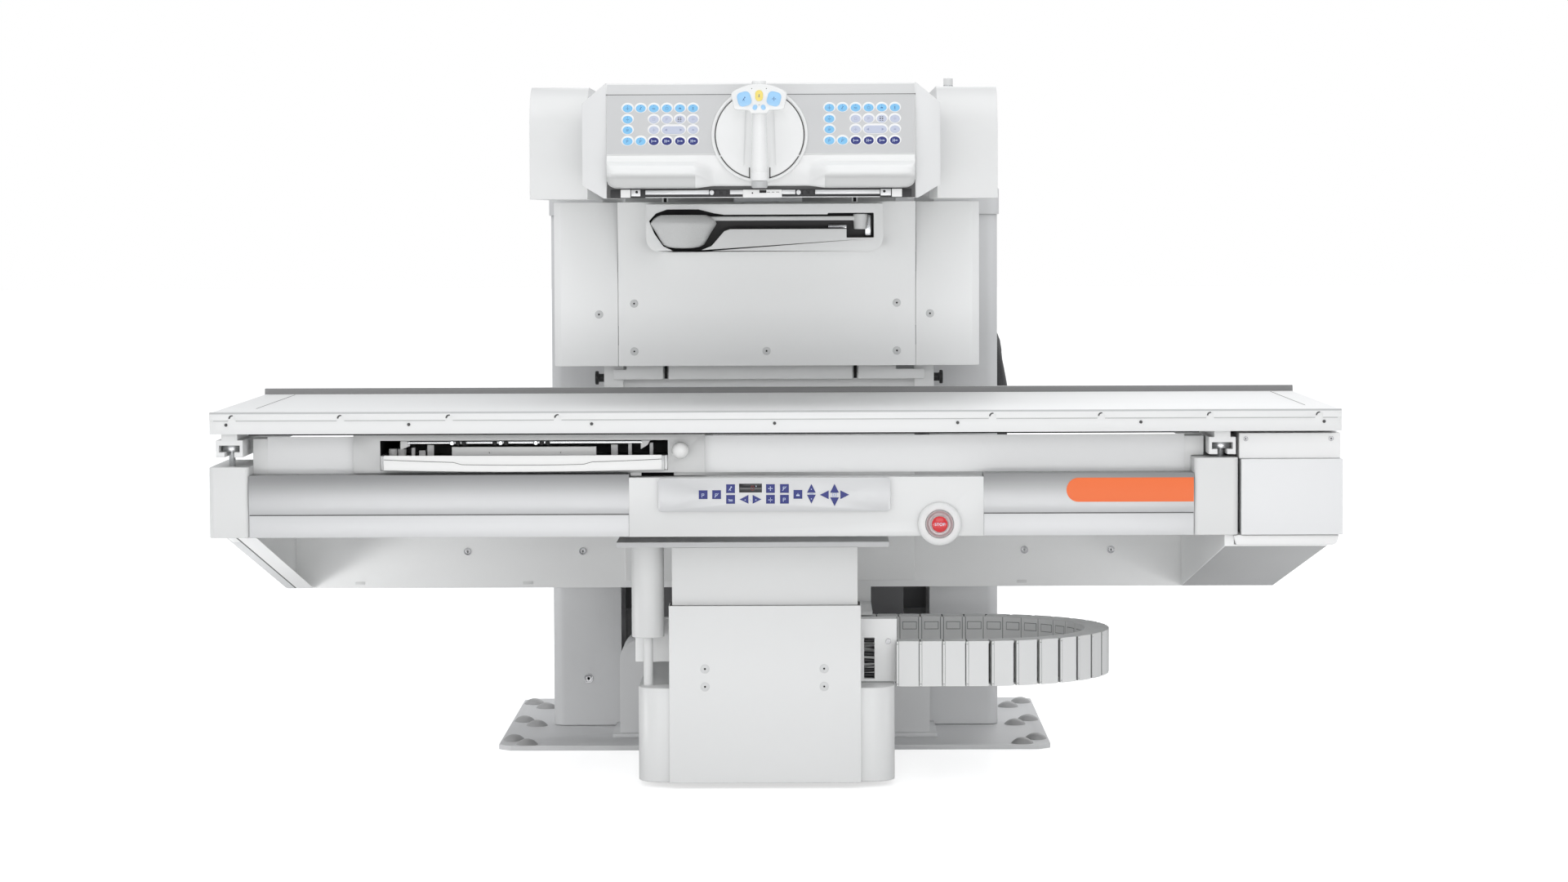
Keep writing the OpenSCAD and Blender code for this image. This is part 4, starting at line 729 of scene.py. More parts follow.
turned("estop_cup",
       [(0.0170, 0.0056), (0.0254, 0.0056), (0.0254, collar_depth - 0.0015),
        (0.0246, collar_depth - 0.0008), (0.0238, collar_depth - 0.0015), (0.0200, 0.0078),
        (0.0172, 0.0072), (0.0170, 0.0056)],
       (stop_x, collar_high[1], stop_z), TO_FRONT, "tilting_frame", cup_silver)
stop_low, stop_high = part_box("estop_button")
neck, tall = stop_high[1] - collar_low[1] - 0.002, stop_high[1] - stop_low[1]
button = turned("estop_mushroom",
                [(0, 0.0), (0.0068, 0.0), (0.0068, neck), (0.0132, neck), (0.0148, neck + 0.0015),
                 (0.0150, tall - 0.0035), (0.0140, tall - 0.0016), (0.0120, tall - 0.0006),
                 (0.0, tall)],
                (stop_x, stop_high[1], stop_z), TO_FRONT, "emergency_stop", stop_red)
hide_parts("estop_button")

# The word is moulded on the button's face
bpy.ops.object.text_add(location=(stop_x, stop_low[1] - 0.0001, stop_z),
                        rotation=(math.radians(90), 0, 0))
word = bpy.context.object
word.data.body = "STOP"
word.data.size = 0.0082
word.data.align_x = word.data.align_y = "CENTER"
word.data.extrude = 0.0001
bpy.ops.object.convert(target="MESH")
settle(word, "stop_word", "emergency_stop", print_white)

# ---- Centre cover and front joints ----
# The white cover stands between the two silver skirts, pressed from sheet with
# rounded edges. The skirts' lower strips and the lip under the box clip on below.

cover_white = plastic("cover_white", (0.73, 0.735, 0.73), 0.32, depth=0.06)
finish_node("centre_cover", cover_white, 0.004, 4)
cover_low, cover_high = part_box("centre_cover")
# A near-black for dark joints and seams. It is also used as painted shade in creases, scallops and
# slits.
joint_and_shade_dark = plastic("joint_and_shade_dark", (0.10, 0.10, 0.10), 0.60)
strip_silver = skin("strip_silver", (0.64, 0.645, 0.65), 0.34, grain=700, depth=0.04, drift=0.03,
                    metallic=0.2)
skirt_spans = ((skirt_low[0] + 0.001, cover_low[0] - 0.0005),
               (cover_high[0] + 0.0005, skirt_high[0] - 0.001))
plate("skirt_joints", [rect(a, b, joint_z - 0.0008, joint_z + 0.0006) for a, b in skirt_spans],
      on_front(skirt_low[1] + 0.0022), 0.0004, "tilting_frame", joint_and_shade_dark)
plate("skirt_strips", [rect(a, b, skirt_low[2] + 0.0005, joint_z - 0.0012) for a, b in skirt_spans],
      on_front(skirt_low[1] + 0.0031), 0.0010, "tilting_frame", strip_silver,
      0.0008)
lip_low = box_low[2] - 0.0195
plate("box_lip", [[(box_low[0] - 0.012, box_low[2] - 0.0004),
                   (box_high[0] - 0.006, box_low[2] - 0.0004),
                   (box_high[0] - 0.010, lip_low + 0.0040), (box_high[0] - 0.016, lip_low),
                   (box_low[0] - 0.006, lip_low)]],
      on_front(box_low[1] + 0.030), 0.0250, "tilting_frame", lid_white, 0.0030)

# The left end plate's sloping lower edge: a bright rim and a white flange, with a near-black strip
# between them as painted shade in the crease
end_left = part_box("left_end_plate")[0][0]
slope_top = Vector((0, skirt_low[1] + 0.017, 0.4918))
slope_foot = Vector((0, -0.1830, 0.3122))
fall = slope_foot - slope_top
slope_out = fall.cross(Vector((1, 0, 0))).normalized()
for name, finish, slot, near, far, lift in (
        ("end_plate_edge", box_silver, "light_grey_paint", 0.0, 0.0180, 0.0012),
        ("end_plate_crease_shade", joint_and_shade_dark, "dark_paint", 0.0180, 0.0215, 0.0008),
        ("end_plate_flange", frame_white, "white_paint", 0.0215, 0.0560, 0.0010)):
    plate(name, [rect(0.004, 0.996, near, far)],
          lambda u, v, w: slope_top + fall * u + Vector((end_left + v, 0, 0)) + slope_out * w,
          -lift, "tilting_frame", finish)

# ---- Tabletop ----
# A smooth laminate panel in an aluminium edge frame. The front rail has a round bead
# for clamps with half-round notches, and a raised rail runs along the rear edge.

laminate = skin("laminate", (0.92, 0.925, 0.92), 0.40, grain=700, depth=0.004, drift=0.02)
laminate.node_tree.nodes["Principled BSDF"].inputs["Specular IOR Level"].default_value = 0.3
edge_white = skin("edge_white", (0.78, 0.785, 0.78), 0.28, grain=1000, depth=0.04, drift=0.02)
rear_grey = skin("rear_grey", (0.25, 0.25, 0.25), 0.36, grain=1000, depth=0.06, drift=0.03)
# Near-black, used mostly as painted shade for the dark of open holes, slots, sockets and gaps.
hole_black = plastic("hole_black", (0.012, 0.012, 0.012), 0.70)
panel_top = finish_node("tabletop", edge_white, 0.0015)
table_low, table_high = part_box("tabletop")
repaint(panel_top, laminate, lambda face: (
    face.normal.z > 0.99 and face.center.z > table_high[2] - 0.002))


def join_rows(bm, rows, closed=False):
    """Faces between neighbouring rows of corners. A closed row joins its two ends."""
    for low, high in zip(rows, rows[1:]):
        for i in range(len(low) if closed else len(low) - 1):
            j = (i + 1) % len(low)
            bm.faces.new((low[i], low[j], high[j], high[i]))


def block_between(bm, near, far):
    """A closed block between two like outlines."""
    rows = [[bm.verts.new(place) for place in outline] for outline in (near, far)]
    for row in rows:
        bm.faces.new(row)
    join_rows(bm, rows, closed=True)
    bmesh.ops.recalc_face_normals(bm, faces=bm.faces)


def cut(piece, outlines, y_low, y_high):
    """Cuts outlines of X and Z out of a piece, between two limits of Y."""
    bm = bmesh.new()
    for outline in outlines:
        block_between(bm, *([(x, y, z) for x, z in outline] for y in (y_low, y_high)))
    cutter = made_of(bm, "cutter")
    reshape(piece, "BOOLEAN", operation="DIFFERENCE", object=cutter, solver="EXACT")
    bpy.data.objects.remove(cutter)


# The front rail is one extrusion: its bead stands 3 mm proud and is scalloped for clamps
# A mid grey for the bead's painted reflection and its painted shadow line
bead_shade_grey = skin("bead_shade_grey", (0.50, 0.505, 0.505), 0.30, grain=1000, depth=0.04, drift=0.02)
rail_low, rail_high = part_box("accessory_rail")
bead_r, rail_face = 0.007, rail_low[1] + 0.003
bead_foot = table_low[2] + 0.0256
rail_profile = [(rail_high[1], rail_low[2]), (rail_face, rail_low[2]), (rail_face, bead_foot),
                (rail_low[1] + 0.0006, bead_foot), (rail_low[1], bead_foot + 0.0006),
                *arc_of(rail_low[1] + bead_r, rail_high[2] - bead_r, bead_r, 180, 90, 9),
                (rail_high[1], rail_high[2])]
bm = bmesh.new()
block_between(bm, *([(x, y, z) for y, z in rail_profile] for x in (rail_low[0], rail_high[0])))
edge_rail = made_of(bm, "edge_rail")
scallop_r, scallop_z, scallop_pitch = 0.0065, bead_foot + 0.0039, 0.2016
middles = [(rail_low[0] + rail_high[0]) / 2 + number * scallop_pitch
           for number in (-5, -4, -3, -2, 2, 3, 4, 5)]
scallop_foot = scallop_z - 0.0060
cut(edge_rail, [[*arc_of(middle, scallop_z, scallop_r, 0, 180, 12),
                 (middle - scallop_r, scallop_foot), (middle + scallop_r, scallop_foot)]
                for middle in middles], rail_low[1] - 0.004, rail_face)
round_edges(edge_rail, 0.0004, 2)
settle(edge_rail, "edge_rail", "table_top", edge_white)
# Painted reflection: the bead's upper curve takes a darker grey, for the dark that the real rail
# mirrors there.
repaint(edge_rail, bead_shade_grey, lambda face: face.normal.y < -0.2 and 0.55 < face.normal.z < 0.93)
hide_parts("accessory_rail")

# Painted shade: a dark crescent at the left of each scallop, and a fine grey shadow line under the
# bead
on_rail_front = on_front(rail_face - 0.0002)
plate("scallop_shades", [arc_of(x, scallop_z, scallop_r, 75, 185, 11)
                          + arc_of(x + 0.0016, scallop_z - 0.0010, 0.0052, 175, 85, 6)
                          for x in middles],
      on_rail_front, 0, "table_top", joint_and_shade_dark)
edges = [rail_low[0], *middles, rail_high[0]]
shadow_line_inset = scallop_r * 1.1
plate("bead_shadow_line", [rect(a + shadow_line_inset, b - shadow_line_inset, bead_foot - 0.0016, bead_foot)
                   for a, b in zip(edges, edges[1:])],
      on_rail_front, 0, "table_top", bead_shade_grey)
rear = finish_node("rear_rail", edge_white, 0.0010)
rear_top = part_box("rear_rail")[1][2]
repaint(rear, rear_grey, lambda face: (
    face.normal.y < -0.5 and face.center.z < rear_top - 0.0005))
finish_node("tabletop_channels", edge_white, 0.0008)


def on_top(height):
    """Places over a level face at a height: across, depth, and up from it."""
    return lambda u, v, w: Vector((u, v, height + w))


plate("table_joints", [bar_of(x, table_low[1] + 0.150, x, table_high[1] - 0.030, 0.0020)
                       for x in (table_low[0] + 0.066, table_high[0] - 0.049)],
      on_top(table_high[2] + 0.0002), 0, "table_top", joint_and_shade_dark)
apron_screw_pitch, apron_mid = 0.3394, table_low[2] + 0.0175
for number in range(7):
    along = table_low[0] + 0.031 + number * apron_screw_pitch
    screw((along, rail_low[1] + 0.0024, apron_mid), TO_FRONT, 0.0030, "table_top", joint_and_shade_dark)
# Painted shadow: a black strip under the apron darkens the gap between the apron and the blinds.
gap_shadow_y, gap_shadow_z, gap_shadow_thick = (-1.099, -1.062), 0.6806, 0.0034
plate("apron_gap_shadow", [rect(table_low[0] + 0.070, table_high[0] - 0.262, *gap_shadow_y)],
      on_top(gap_shadow_z), gap_shadow_thick, "table_top", hole_black)

# ---- Cassette unit under the tabletop ----
# A white case that rolls along the front beam on a black-lined throat. Its steel tray
# slides in it on ball bearings, and a white clamp bar holds the film cassette.

throat_black = skin("throat_black", (0.018, 0.018, 0.018), 0.55, depth=0.06, drift=0.02)
tray_steel = satin("tray_steel", (0.72, 0.725, 0.725), 0.34, (0.4, 14, 14))
bar_white = plastic("bar_white", (0.82, 0.82, 0.81), 0.34, depth=0.04)
knob_white = plastic("knob_white", (0.80, 0.80, 0.79), 0.20, coat=0.3)
unit = finish_node("cassette_unit", cover_white, 0.0012)
unit_low, unit_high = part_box("cassette_unit")
repaint(unit, throat_black, lambda face: (
    unit_low[0] + 0.045 < face.center.x < unit_high[0] - 0.045
    and face.center.y > unit_low[1] + 0.0015
    and unit_low[2] + 0.002 < face.center.z < unit_high[2] - 0.002))
tray = finish_node("cassette_tray", tray_steel, 0.0012)
tray_low, tray_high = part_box("cassette_tray")
repaint(tray, bar_white, lambda face: (
    face.center.z > tray_low[2] + 0.0285 and face.center.y < unit_low[1] + 0.02))

# Posts and two upright rollers stand on the tray, inside the throat
tray_floor = tray_low[2] + 0.003
post_y, roller_y = (-1.036, -1.024), -1.030
for number, (half, x, tall) in enumerate((
        (0.0062, -0.6370, 0.0435), (0.0062, -0.2920, 0.0435), (0.0034, -0.2628, 0.0465),
        (0.0034, -0.2227, 0.0465), (0.0034, -0.6696, 0.0380), (0.0060, -0.6525, 0.0330))):
    plate(f"tray_post_{number}", [rect(x - half, x + half, *post_y)], on_top(tray_floor),
          tall, "tray", bar_white, 0.0008)


def peg_of(radius, length, rim, rim_long):
    """The half profile of a plain round peg or roller with a bevelled rim."""
    return [(0.0, 0.0), (radius, 0.0), (radius, length - rim_long), (radius - rim, length),
            (0.0, length)]


UPWARD = (0, 0, 1)
for number, x in enumerate((-0.7080, -0.6910)):
    turned(f"tray_roller_{number}", peg_of(0.0078, 0.0362, 0.0008, 0.0010),
           (x, roller_y, tray_floor), UPWARD, "tray", bar_white, steps=32)
lip_mid, lip_half = (tray_low[0] + tray_high[0]) / 2, (tray_high[0] - tray_low[0]) / 2 - 0.010


def sag(x, deep):
    """The lip's lines hang in a shallow bow: how far below its ends, at x."""
    return deep * (1 - ((x - lip_mid) / lip_half) ** 2)


def lip_line(top, deep, step=0.0):
    """A line along the lip from left to right, with a step down round its middle."""
    line = []
    for number in range(33):
        x = lip_mid + lip_half * (number / 16 - 1)
        inner = min(1.0, max(0.0, (0.122 - abs(x - lip_mid)) / 0.008))
        line.append((x, top - sag(x, deep) - step * inner))
    return line


lip_top = tray_low[2] + 0.0300
lower = lip_line(lip_top - 0.0075, 0.0065, 0.0040)
floor_line = lip_line(tray_low[2] + 0.0030, 0.0032)


def on_lip(u, v, w):
    """A place on the lip's bowed front: across, height, and out from it."""
    bow = 0.0040 * ((u - lip_mid) / lip_half) ** 2
    return Vector((u, tray_low[1] + bow - 0.0004 - w, v))


def strip_between(name, low, high, lift, finish):
    """A bowed band of the lip between two lines, standing out by its lift."""
    bm = bmesh.new()
    rows = [[bm.verts.new(on_lip(x, z, out)) for x, z in line]
            for line, out in ((low, -0.003), (low, lift), (high, lift), (high, -0.003))]
    join_rows(bm, rows + rows[:1])
    for n in (0, -1):
        bm.faces.new([row[n] for row in rows])
    bmesh.ops.recalc_face_normals(bm, faces=bm.faces)
    piece = made_of(bm, name)
    round_edges(piece, 0.0005, 2)
    settle(piece, name, "tray", finish)


strip_between("tray_lip_ledge", lower, lip_line(lip_top, 0.0004), 0.0004, bar_white)
strip_between("tray_lip_face", floor_line, [(x, z - 0.0007) for x, z in lower], 0.0024, bar_white)
strip_between("tray_lip_gap", [(x, z - 0.0010) for x, z in lower],
              [(x, z + 0.0003) for x, z in lower], 0.0006, joint_and_shade_dark)
bar_z = tray_low[2] + 0.0345
plate("clamp_bar_marks", [bar_of(x, bar_z, x + turn * 0.0016, bar_z - 0.0030, 0.0008)
                          for x, turn in ((-0.5255, 1), (-0.3906, -1))],
      on_front(unit_low[1] + 0.0004), 0.0004, "tray", joint_and_shade_dark)

# The unit's upper rail carries small roller groups for the tray
on_bay_rail = on_front(unit_low[1] + 0.012)
throat_top = unit_high[2] - 0.0125
plate("bay_rail", [rect(-0.6795, -0.2390, throat_top - 0.0062, throat_top - 0.0012)],
      on_bay_rail, 0.006, "cassette_carriage", rail_steel, 0.0008)
for name, x, foot_end in (("left", -0.6830, 0.009), ("right", -0.2330, 0.003)):
    plate("bay_rail_end_" + name,
          [[(x - 0.009, throat_top - 0.0005), (x + 0.009, throat_top - 0.0005),
            (x + foot_end, throat_top - 0.0100), (x - 0.009, throat_top - 0.0170)]],
          on_bay_rail, 0.005, "cassette_carriage", bar_white, 0.0008)
for number, x in enumerate((-0.5950, -0.5840, -0.5730, -0.5150, -0.5040, -0.4940,
                            -0.4380, -0.4270, -0.4160)):
    finish, slot = (rail_steel, "steel") if number in (0, 4, 6) else (throat_black, "dark_paint")
    turned(f"bay_roller_{number}", peg_of(0.0044, 0.0038, 0.0008, 0.0008),
           on_bay_rail(x, throat_top - 0.0045, 0.0058), TO_FRONT, "cassette_carriage", finish,
           steps=24)

# The tray is locked by a pull knob, a turned ball with a short neck
knob_low, knob_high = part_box("lock_knob")
knob_long, ball_r = knob_high[1] - knob_low[1], (knob_high[0] - knob_low[0]) / 2
ball = arc_of(0, knob_long - ball_r, ball_r, -62, 90, 12)[1:-1]
knob = turned("lock_knob_ball", [(0.0, 0.0), (0.0048, 0.0), (0.0048, knob_long - 2 * ball_r),
                                 (0.0075, knob_long - 1.80 * ball_r), *ball, (0.0, knob_long)],
              ((knob_low[0] + knob_high[0]) / 2, knob_high[1], (knob_low[2] + knob_high[2]) / 2),
              TO_FRONT, "tray_lock", knob_white, steps=48)
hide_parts("lock_knob")

# ---- Roller blinds of the bay ----
# Two white blinds of thin plastic close the bay on both sides of the cassette unit.
# On the real table they unroll from the bay's ends and are clipped to the unit; here each is a flat
# sheet, and only the right one hangs on a body, the tilting frame.

blind_white = skin("blind_white", (0.97, 0.975, 0.975), 0.42, grain=1600, depth=0.12, drift=0.02)
blind_low, blind_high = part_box("slot_curtains")
columns, bands = 60, 3
for name, ends, bodies in (
        ("left", (blind_low[0], unit_low[0]), ("tilting_frame", "cassette_carriage")),
        ("right", (unit_high[0], blind_high[0]), ("cassette_carriage", "tilting_frame"))):
    bm = bmesh.new()
    join_rows(bm, [[bm.verts.new((ends[0] + (ends[1] - ends[0]) * column / columns, blind_low[1],
                                  blind_low[2] + (blind_high[2] - blind_low[2]) * band / bands))
                    for column in range(columns + 1)] for band in range(bands + 1)])
    blind = made_of(bm, "blind_" + name)
    reshape(blind, "SOLIDIFY", thickness=blind_high[1] - blind_low[1], offset=-1)
    blind.data.materials.append(blind_white)
    if name == "left":
        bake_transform(blind)
    else:
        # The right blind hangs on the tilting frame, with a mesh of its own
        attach(blind, bodies[1])
        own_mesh(blind)
    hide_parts("slot_curtains")

# ---- Travelling carriage and tower back ----
# A welded carriage on the rear beam carries the lower arms for the tube and the two
# posts of the tower. The panel between the posts has two slots for the lift's fins.

tower_white = skin("tower_white", (0.95, 0.955, 0.95), 0.32, depth=0.08, drift=0.02)
inner_grey = skin("inner_grey", (0.62, 0.625, 0.63), 0.36, depth=0.10, drift=0.04)
knob_black = skin("knob_black", (0.020, 0.020, 0.021), 0.30, grain=1200, depth=0.05, drift=0.02)
finish_node("carriage_frame", tower_white, 0.0015)
finish_node("tower_back_panel", tower_white, 0.0008)
finish_node("tube_arm", inner_grey, 0.0015)
finish_node("upper_tube_cover", cover_white, 0.0009)
finish_node("actuator_cylinder", cover_white, 0.0020, 3)
frame_low, frame_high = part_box("carriage_frame")
hoist_y, hoist_z = -0.222, 0.751
for name, edge, side in (("hoist_knob", frame_low[0], -1), ("hoist_knob_back", frame_high[0], 1)):
    turned(name, [(0, 0), (0.0085, 0), (0.0085, 0.011), (0.0095, 0.0125), (0.0135, 0.0130),
                  (0.0142, 0.0142), (0.0142, 0.0185), (0.0130, 0.0198), (0.0, 0.0200)],
           (edge - side * 0.0005, hoist_y, hoist_z), (side, 0, 0), "travelling_carriage",
           knob_black, steps=40)
back_low, back_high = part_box("tower_back_panel")
plate("slot_shades", [rect(x - 0.0032, x + 0.0032, back_low[2] + 0.001, back_high[2] - 0.016)
                      for x in (-0.222, 0.168)],
      on_front(back_high[1] + 0.0002), 0, "travelling_carriage", hole_black)

# ---- Cable box ----
# A sheet box hung under the arms, where the cables from the chain fan out. A tall
# window near its right end shows the hoses inside.

chest = finish_node("cable_box", tower_white, 0.0009)
chest_low, chest_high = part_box("cable_box")
chest_front = chest_low[1]
window = rect(chest_high[0] - 0.063, chest_high[0] - 0.043, 0.234, 0.276)
cut(chest, [window], chest_front - 0.005, chest_front + 0.005)
screw((0.2235, chest_front - 0.0006, 0.2690), TO_FRONT, 0.0055, "travelling_carriage",
      screw_steel)
hose_black = skin("hose_black", (0.020, 0.020, 0.022), 0.36, grain=800, depth=0.08, drift=0.03)
hose_grey = skin("hose_grey", (0.26, 0.265, 0.27), 0.40, grain=800, depth=0.08, drift=0.03)


def hose(name, points, radius, body, finish):
    """A short fixed hose or wire along a smooth line, as a mesh tube."""
    line = bpy.data.curves.new(name, "CURVE")
    line.dimensions = "3D"
    line.bevel_depth = radius
    line.bevel_resolution = 3
    line.use_fill_caps = True
    run = line.splines.new("NURBS")
    run.points.add(len(points) - 1)
    for p, place in zip(run.points, points):
        p.co = (*place, 1)
    run.use_endpoint_u = True
    run.order_u = 4
    tube = bpy.data.objects.new(name, line)
    scene.collection.objects.link(tube)
    pick(tube)
    bpy.ops.object.convert(target="MESH")
    tube = bpy.context.object
    bpy.ops.object.shade_smooth()
    return settle(tube, name, body, finish)


for number, (z0, z1, radius, paint) in enumerate((
        (0.234, 0.226, 0.0042, hose_black), (0.225, 0.231, 0.0030, hose_black),
        (0.214, 0.224, 0.0022, hose_grey), (0.209, 0.215, 0.0040, hose_black),
        (0.203, 0.200, 0.0048, hose_black), (0.220, 0.206, 0.0018, hose_grey),
        (0.246, 0.240, 0.0046, hose_black), (0.254, 0.263, 0.0022, hose_grey),
        (0.262, 0.250, 0.0030, hose_black), (0.270, 0.268, 0.0036, hose_black))):
    depth = chest_front + 0.014 + 0.004 * (number % 3)
    hose(f"chest_hose_{number}", [(0.080, depth, z0), (0.150, depth, z0),
                                  (0.190, depth + 0.002, (z0 + z1) / 2), (0.232, depth, z1)],
         radius, "travelling_carriage", paint)

# ---- Cable chain ----
# A grey nylon chain of rigid links, pinned together, lies on its side in one long
# bow. Narrow hinge strips stand between its plates, with small snap tabs at the ends.

chain_low, chain_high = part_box("cable_chain")
chain_grey = skin("chain_grey", (0.76, 0.765, 0.76), 0.38, grain=1000, depth=0.08, drift=0.03)
# chain_shade is a darker grey: painted shade for the gaps at the hinge strips, round the pads and
# at the snap tabs.
chain_shade = skin("chain_shade", (0.24, 0.245, 0.24), 0.45, grain=1000, depth=0.06, drift=0.03)
link_deep, link_long = 0.050, 0.043
front_y, back_y = chain_low[1] + link_deep / 2, chain_high[1] - link_deep / 2
bow_r = (back_y - front_y) / 2
bend_x = chain_high[0] - bow_r - link_deep / 2
start_x, shelf_x = 0.240, 0.120
bow = math.pi * bow_r
front_run, back_run = bend_x - start_x, bend_x - shelf_x


def on_chain(s):
    """Place and heading of the chain's line, s metres from its front end."""
    if s < front_run:
        return Vector((start_x + s, front_y, 0)), 0.0
    if s < front_run + bow:
        a = (s - front_run) / bow_r
        return Vector((bend_x + bow_r * math.sin(a), front_y + bow_r - bow_r * math.cos(a), 0)), a
    return Vector((bend_x - (s - front_run - bow), back_y, 0)), math.pi


def box_in(bm, place, turn, x, y, z, tone=0):
    """A box given by limits on each axis, turned about the vertical and set at a place."""
    made = bmesh.ops.create_cube(bm, size=1.0)["verts"]
    for face in {face for v in made for face in v.link_faces}:
        face.material_index = tone
    for v in made:
        v.co = [limit[0] if at < 0 else limit[1] for at, limit in zip(v.co, (x, y, z))]
    bmesh.ops.rotate(bm, verts=made, cent=(0, 0, 0), matrix=Matrix.Rotation(turn, 3, "Z"))
    bmesh.ops.translate(bm, verts=made, vec=place)


# Each link's parts: limits along the chain, across it and in height, and the tone
chain_z = (chain_low[2], chain_high[2])
half, (low, high) = link_long / 2, chain_z
bars_x, bars_y = (-half + 0.0008, half - 0.0008), (-0.0222, 0.0222)
link_parts = [
    # Outer plate, the hinge strip at its end in painted shade, and the pin in it
    ((-half + 0.0026, half - 0.0026), (-0.0250, -0.0220), (low, high), 0),
    ((-half - 0.0034, -half + 0.0034), (-0.0240, -0.0205), (low + 0.0010, high - 0.0010), 1),
    ((-half - 0.0020, -half + 0.0020), (-0.0247, -0.0235), (low + 0.0006, high - 0.0006), 0),
    # Inner plate with its own strip and pin
    ((-half + 0.0012, half - 0.0012), (0.0215, 0.0242), (low + 0.001, high - 0.001), 0),
    ((-half - 0.0040, -half + 0.0040), (0.0190, 0.0246), (low + 0.0016, high - 0.0016), 1),
    ((-half - 0.0026, -half + 0.0026), (0.0225, 0.0250), (low + 0.0016, high - 0.0016), 0),
    # A pad on the inner plate, framed in painted shade
    ((-0.0145, 0.0145), (0.0225, 0.0246), (high - 0.027, high - 0.011), 1),
    ((-0.0133, 0.0133), (0.0225, 0.0250), (high - 0.0258, high - 0.0122), 0),
    # Bars above and below
    (bars_x, bars_y, (high - 0.0050, high - 0.0004), 0),
    (bars_x, bars_y, (low + 0.0004, low + 0.0050), 0),
    # Snap tabs, in painted shade
    ((-half - 0.0018, -half + 0.0018), (-0.0250, -0.0225), (low + 0.0040, low + 0.0052), 1),
    ((-half - 0.0018, -half + 0.0018), (-0.0250, -0.0225), (high - 0.0065, high - 0.0053), 1),
]
bm = bmesh.new()
length = front_run + bow + back_run
links = int(length / link_long)
for number in range(links):
    place, turn = on_chain((number + 0.5) * length / links)
    for x, y, z, tone in link_parts:
        box_in(bm, place, turn, x, y, z, tone)
chain = made_of(bm, "cable_chain_links")
round_edges(chain, 0.0004, 1)
chain.data.materials.append(chain_grey)
chain.data.materials.append(chain_shade)
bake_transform(chain)
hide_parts("cable_chain")

# ---- X-ray tube unit ----
# A wide moulded housing just above the floor holds the tube. A folded front cover,
# fixed by four dished screws, slides over the upper cover as the unit is lowered.

tube_white = skin("tube_white", (0.76, 0.765, 0.76), 0.30, depth=0.07, drift=0.02)
finish_node("tube_front_cover", tube_white, 0.0020, 3)
finish_node("tube_housing", tube_white, 0.0030, 3)
finish_node("xray_tube", inner_grey, 0.0015)
dish_white = skin("dish_white", (0.66, 0.665, 0.665), 0.26, grain=1100, depth=0.04, drift=0.02)


def cover_screw(place, facing, radius, body):
    """A dished cover screw: a wide flat washer round a small socket, drawn as a black disc that is
    painted shade for its depth.
    """
    name = f"cover_screw_{cover_screw.count:02d}"
    cover_screw.count += 1
    turned(name, [(0, -0.0004), (radius, -0.0004), (radius, 0.0002), (radius * 0.90, 0.0009),
                  (radius * 0.50, 0.0012), (radius * 0.28, 0.0011), (radius * 0.24, 0.0002),
                  (0, 0.0002)],
           place, facing, body, dish_white, steps=32, sharp=50)
    turned(name + "_socket",
           [(0, 0.0003), (radius * 0.22, 0.0003), (radius * 0.16, 0.0006), (0, 0.0006)],
           place, facing, body, hole_black, steps=12)


cover_screw.count = 0
cover_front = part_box("tube_front_cover")[0][1]
for x in (-0.126, 0.100):
    for z in (0.228, 0.194):
        cover_screw((x, cover_front - 0.0001, z), TO_FRONT, 0.0088, "tube_unit")

# ---- Tower covers ----
# Folded white covers hide the lift bracket: one in front, which leans forward above a
# fold line, and one on each side. Dished screws fix them to the bracket.

ear_grey = plastic("ear_grey", (0.76, 0.765, 0.76), 0.30, depth=0.05)
finish_node("tower_front_cover", tower_white, 0.0012)
finish_node("tower_side_covers", tower_white, 0.0020, 3)
finish_node("ear_covers", ear_grey, 0.0040, 4)
finish_node("head_bracket", spindle_steel, 0.0008)
tower_face, tower_lean = -0.300, 0.025
tower_fold, tower_top = table_high[2] + 0.200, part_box("tower_front_cover")[1][2]


def lean_at(height):
    """How far the front cover's face has come forward at a height."""
    return tower_lean * max(0.0, height - tower_fold) / (tower_top - tower_fold)


for x, z in ((-0.285, 0.906), (0.253, 0.906), (-0.285, 0.808), (-0.014, 0.808), (0.253, 0.808),
             (-0.357, 0.884), (0.321, 0.884)):
    cover_screw((x, tower_face - 0.0001, z), TO_FRONT, 0.0085, "head")

# ---- Cone plate and compression cone ----
# The cone is a moulded white bowl that presses the patient's side. Its arm folds into
# a drop-shaped recess of the plate under the head and swings out on a pin.

recess_shade = skin("recess_shade", (0.055, 0.055, 0.056), 0.45, grain=900, depth=0.05, drift=0.04)
cone_low, cone_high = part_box("cone_plate")
cone_front, corner, recess_deep = cone_low[1], 0.030, 0.0335

# The plate's outline, with rounded lower corners, and the recess that is cut from it
outline = [(cone_low[0], cone_high[2]), (cone_low[0], cone_low[2] + corner),
           *arc_of(cone_low[0] + corner, cone_low[2] + corner, corner, 180, 270, 8)[1:],
           *arc_of(cone_high[0] - corner, cone_low[2] + corner, corner, 270, 360, 8),
           (cone_high[0], cone_high[2])]
bm = bmesh.new()
block_between(bm, [(x, cone_front, z) for x, z in outline],
              [(x, tower_face - 0.0005 - lean_at(z), z) for x, z in outline])
cone_plate = made_of(bm, "cone_plate_cover")
drop = [(-0.250, 1.075), (-0.236, 1.090), (-0.214, 1.098), (-0.150, 1.098), (-0.118, 1.090),
        (-0.098, 1.087), (0.112, 1.087), (0.112, 1.090), (0.205, 1.090), (0.205, 1.040),
        (0.150, 1.040), (0.150, 1.058), (-0.086, 1.058), (-0.098, 1.054), (-0.110, 1.040),
        (-0.124, 1.024), (-0.150, 1.0135), (-0.200, 1.0135), (-0.222, 1.024), (-0.240, 1.050)]
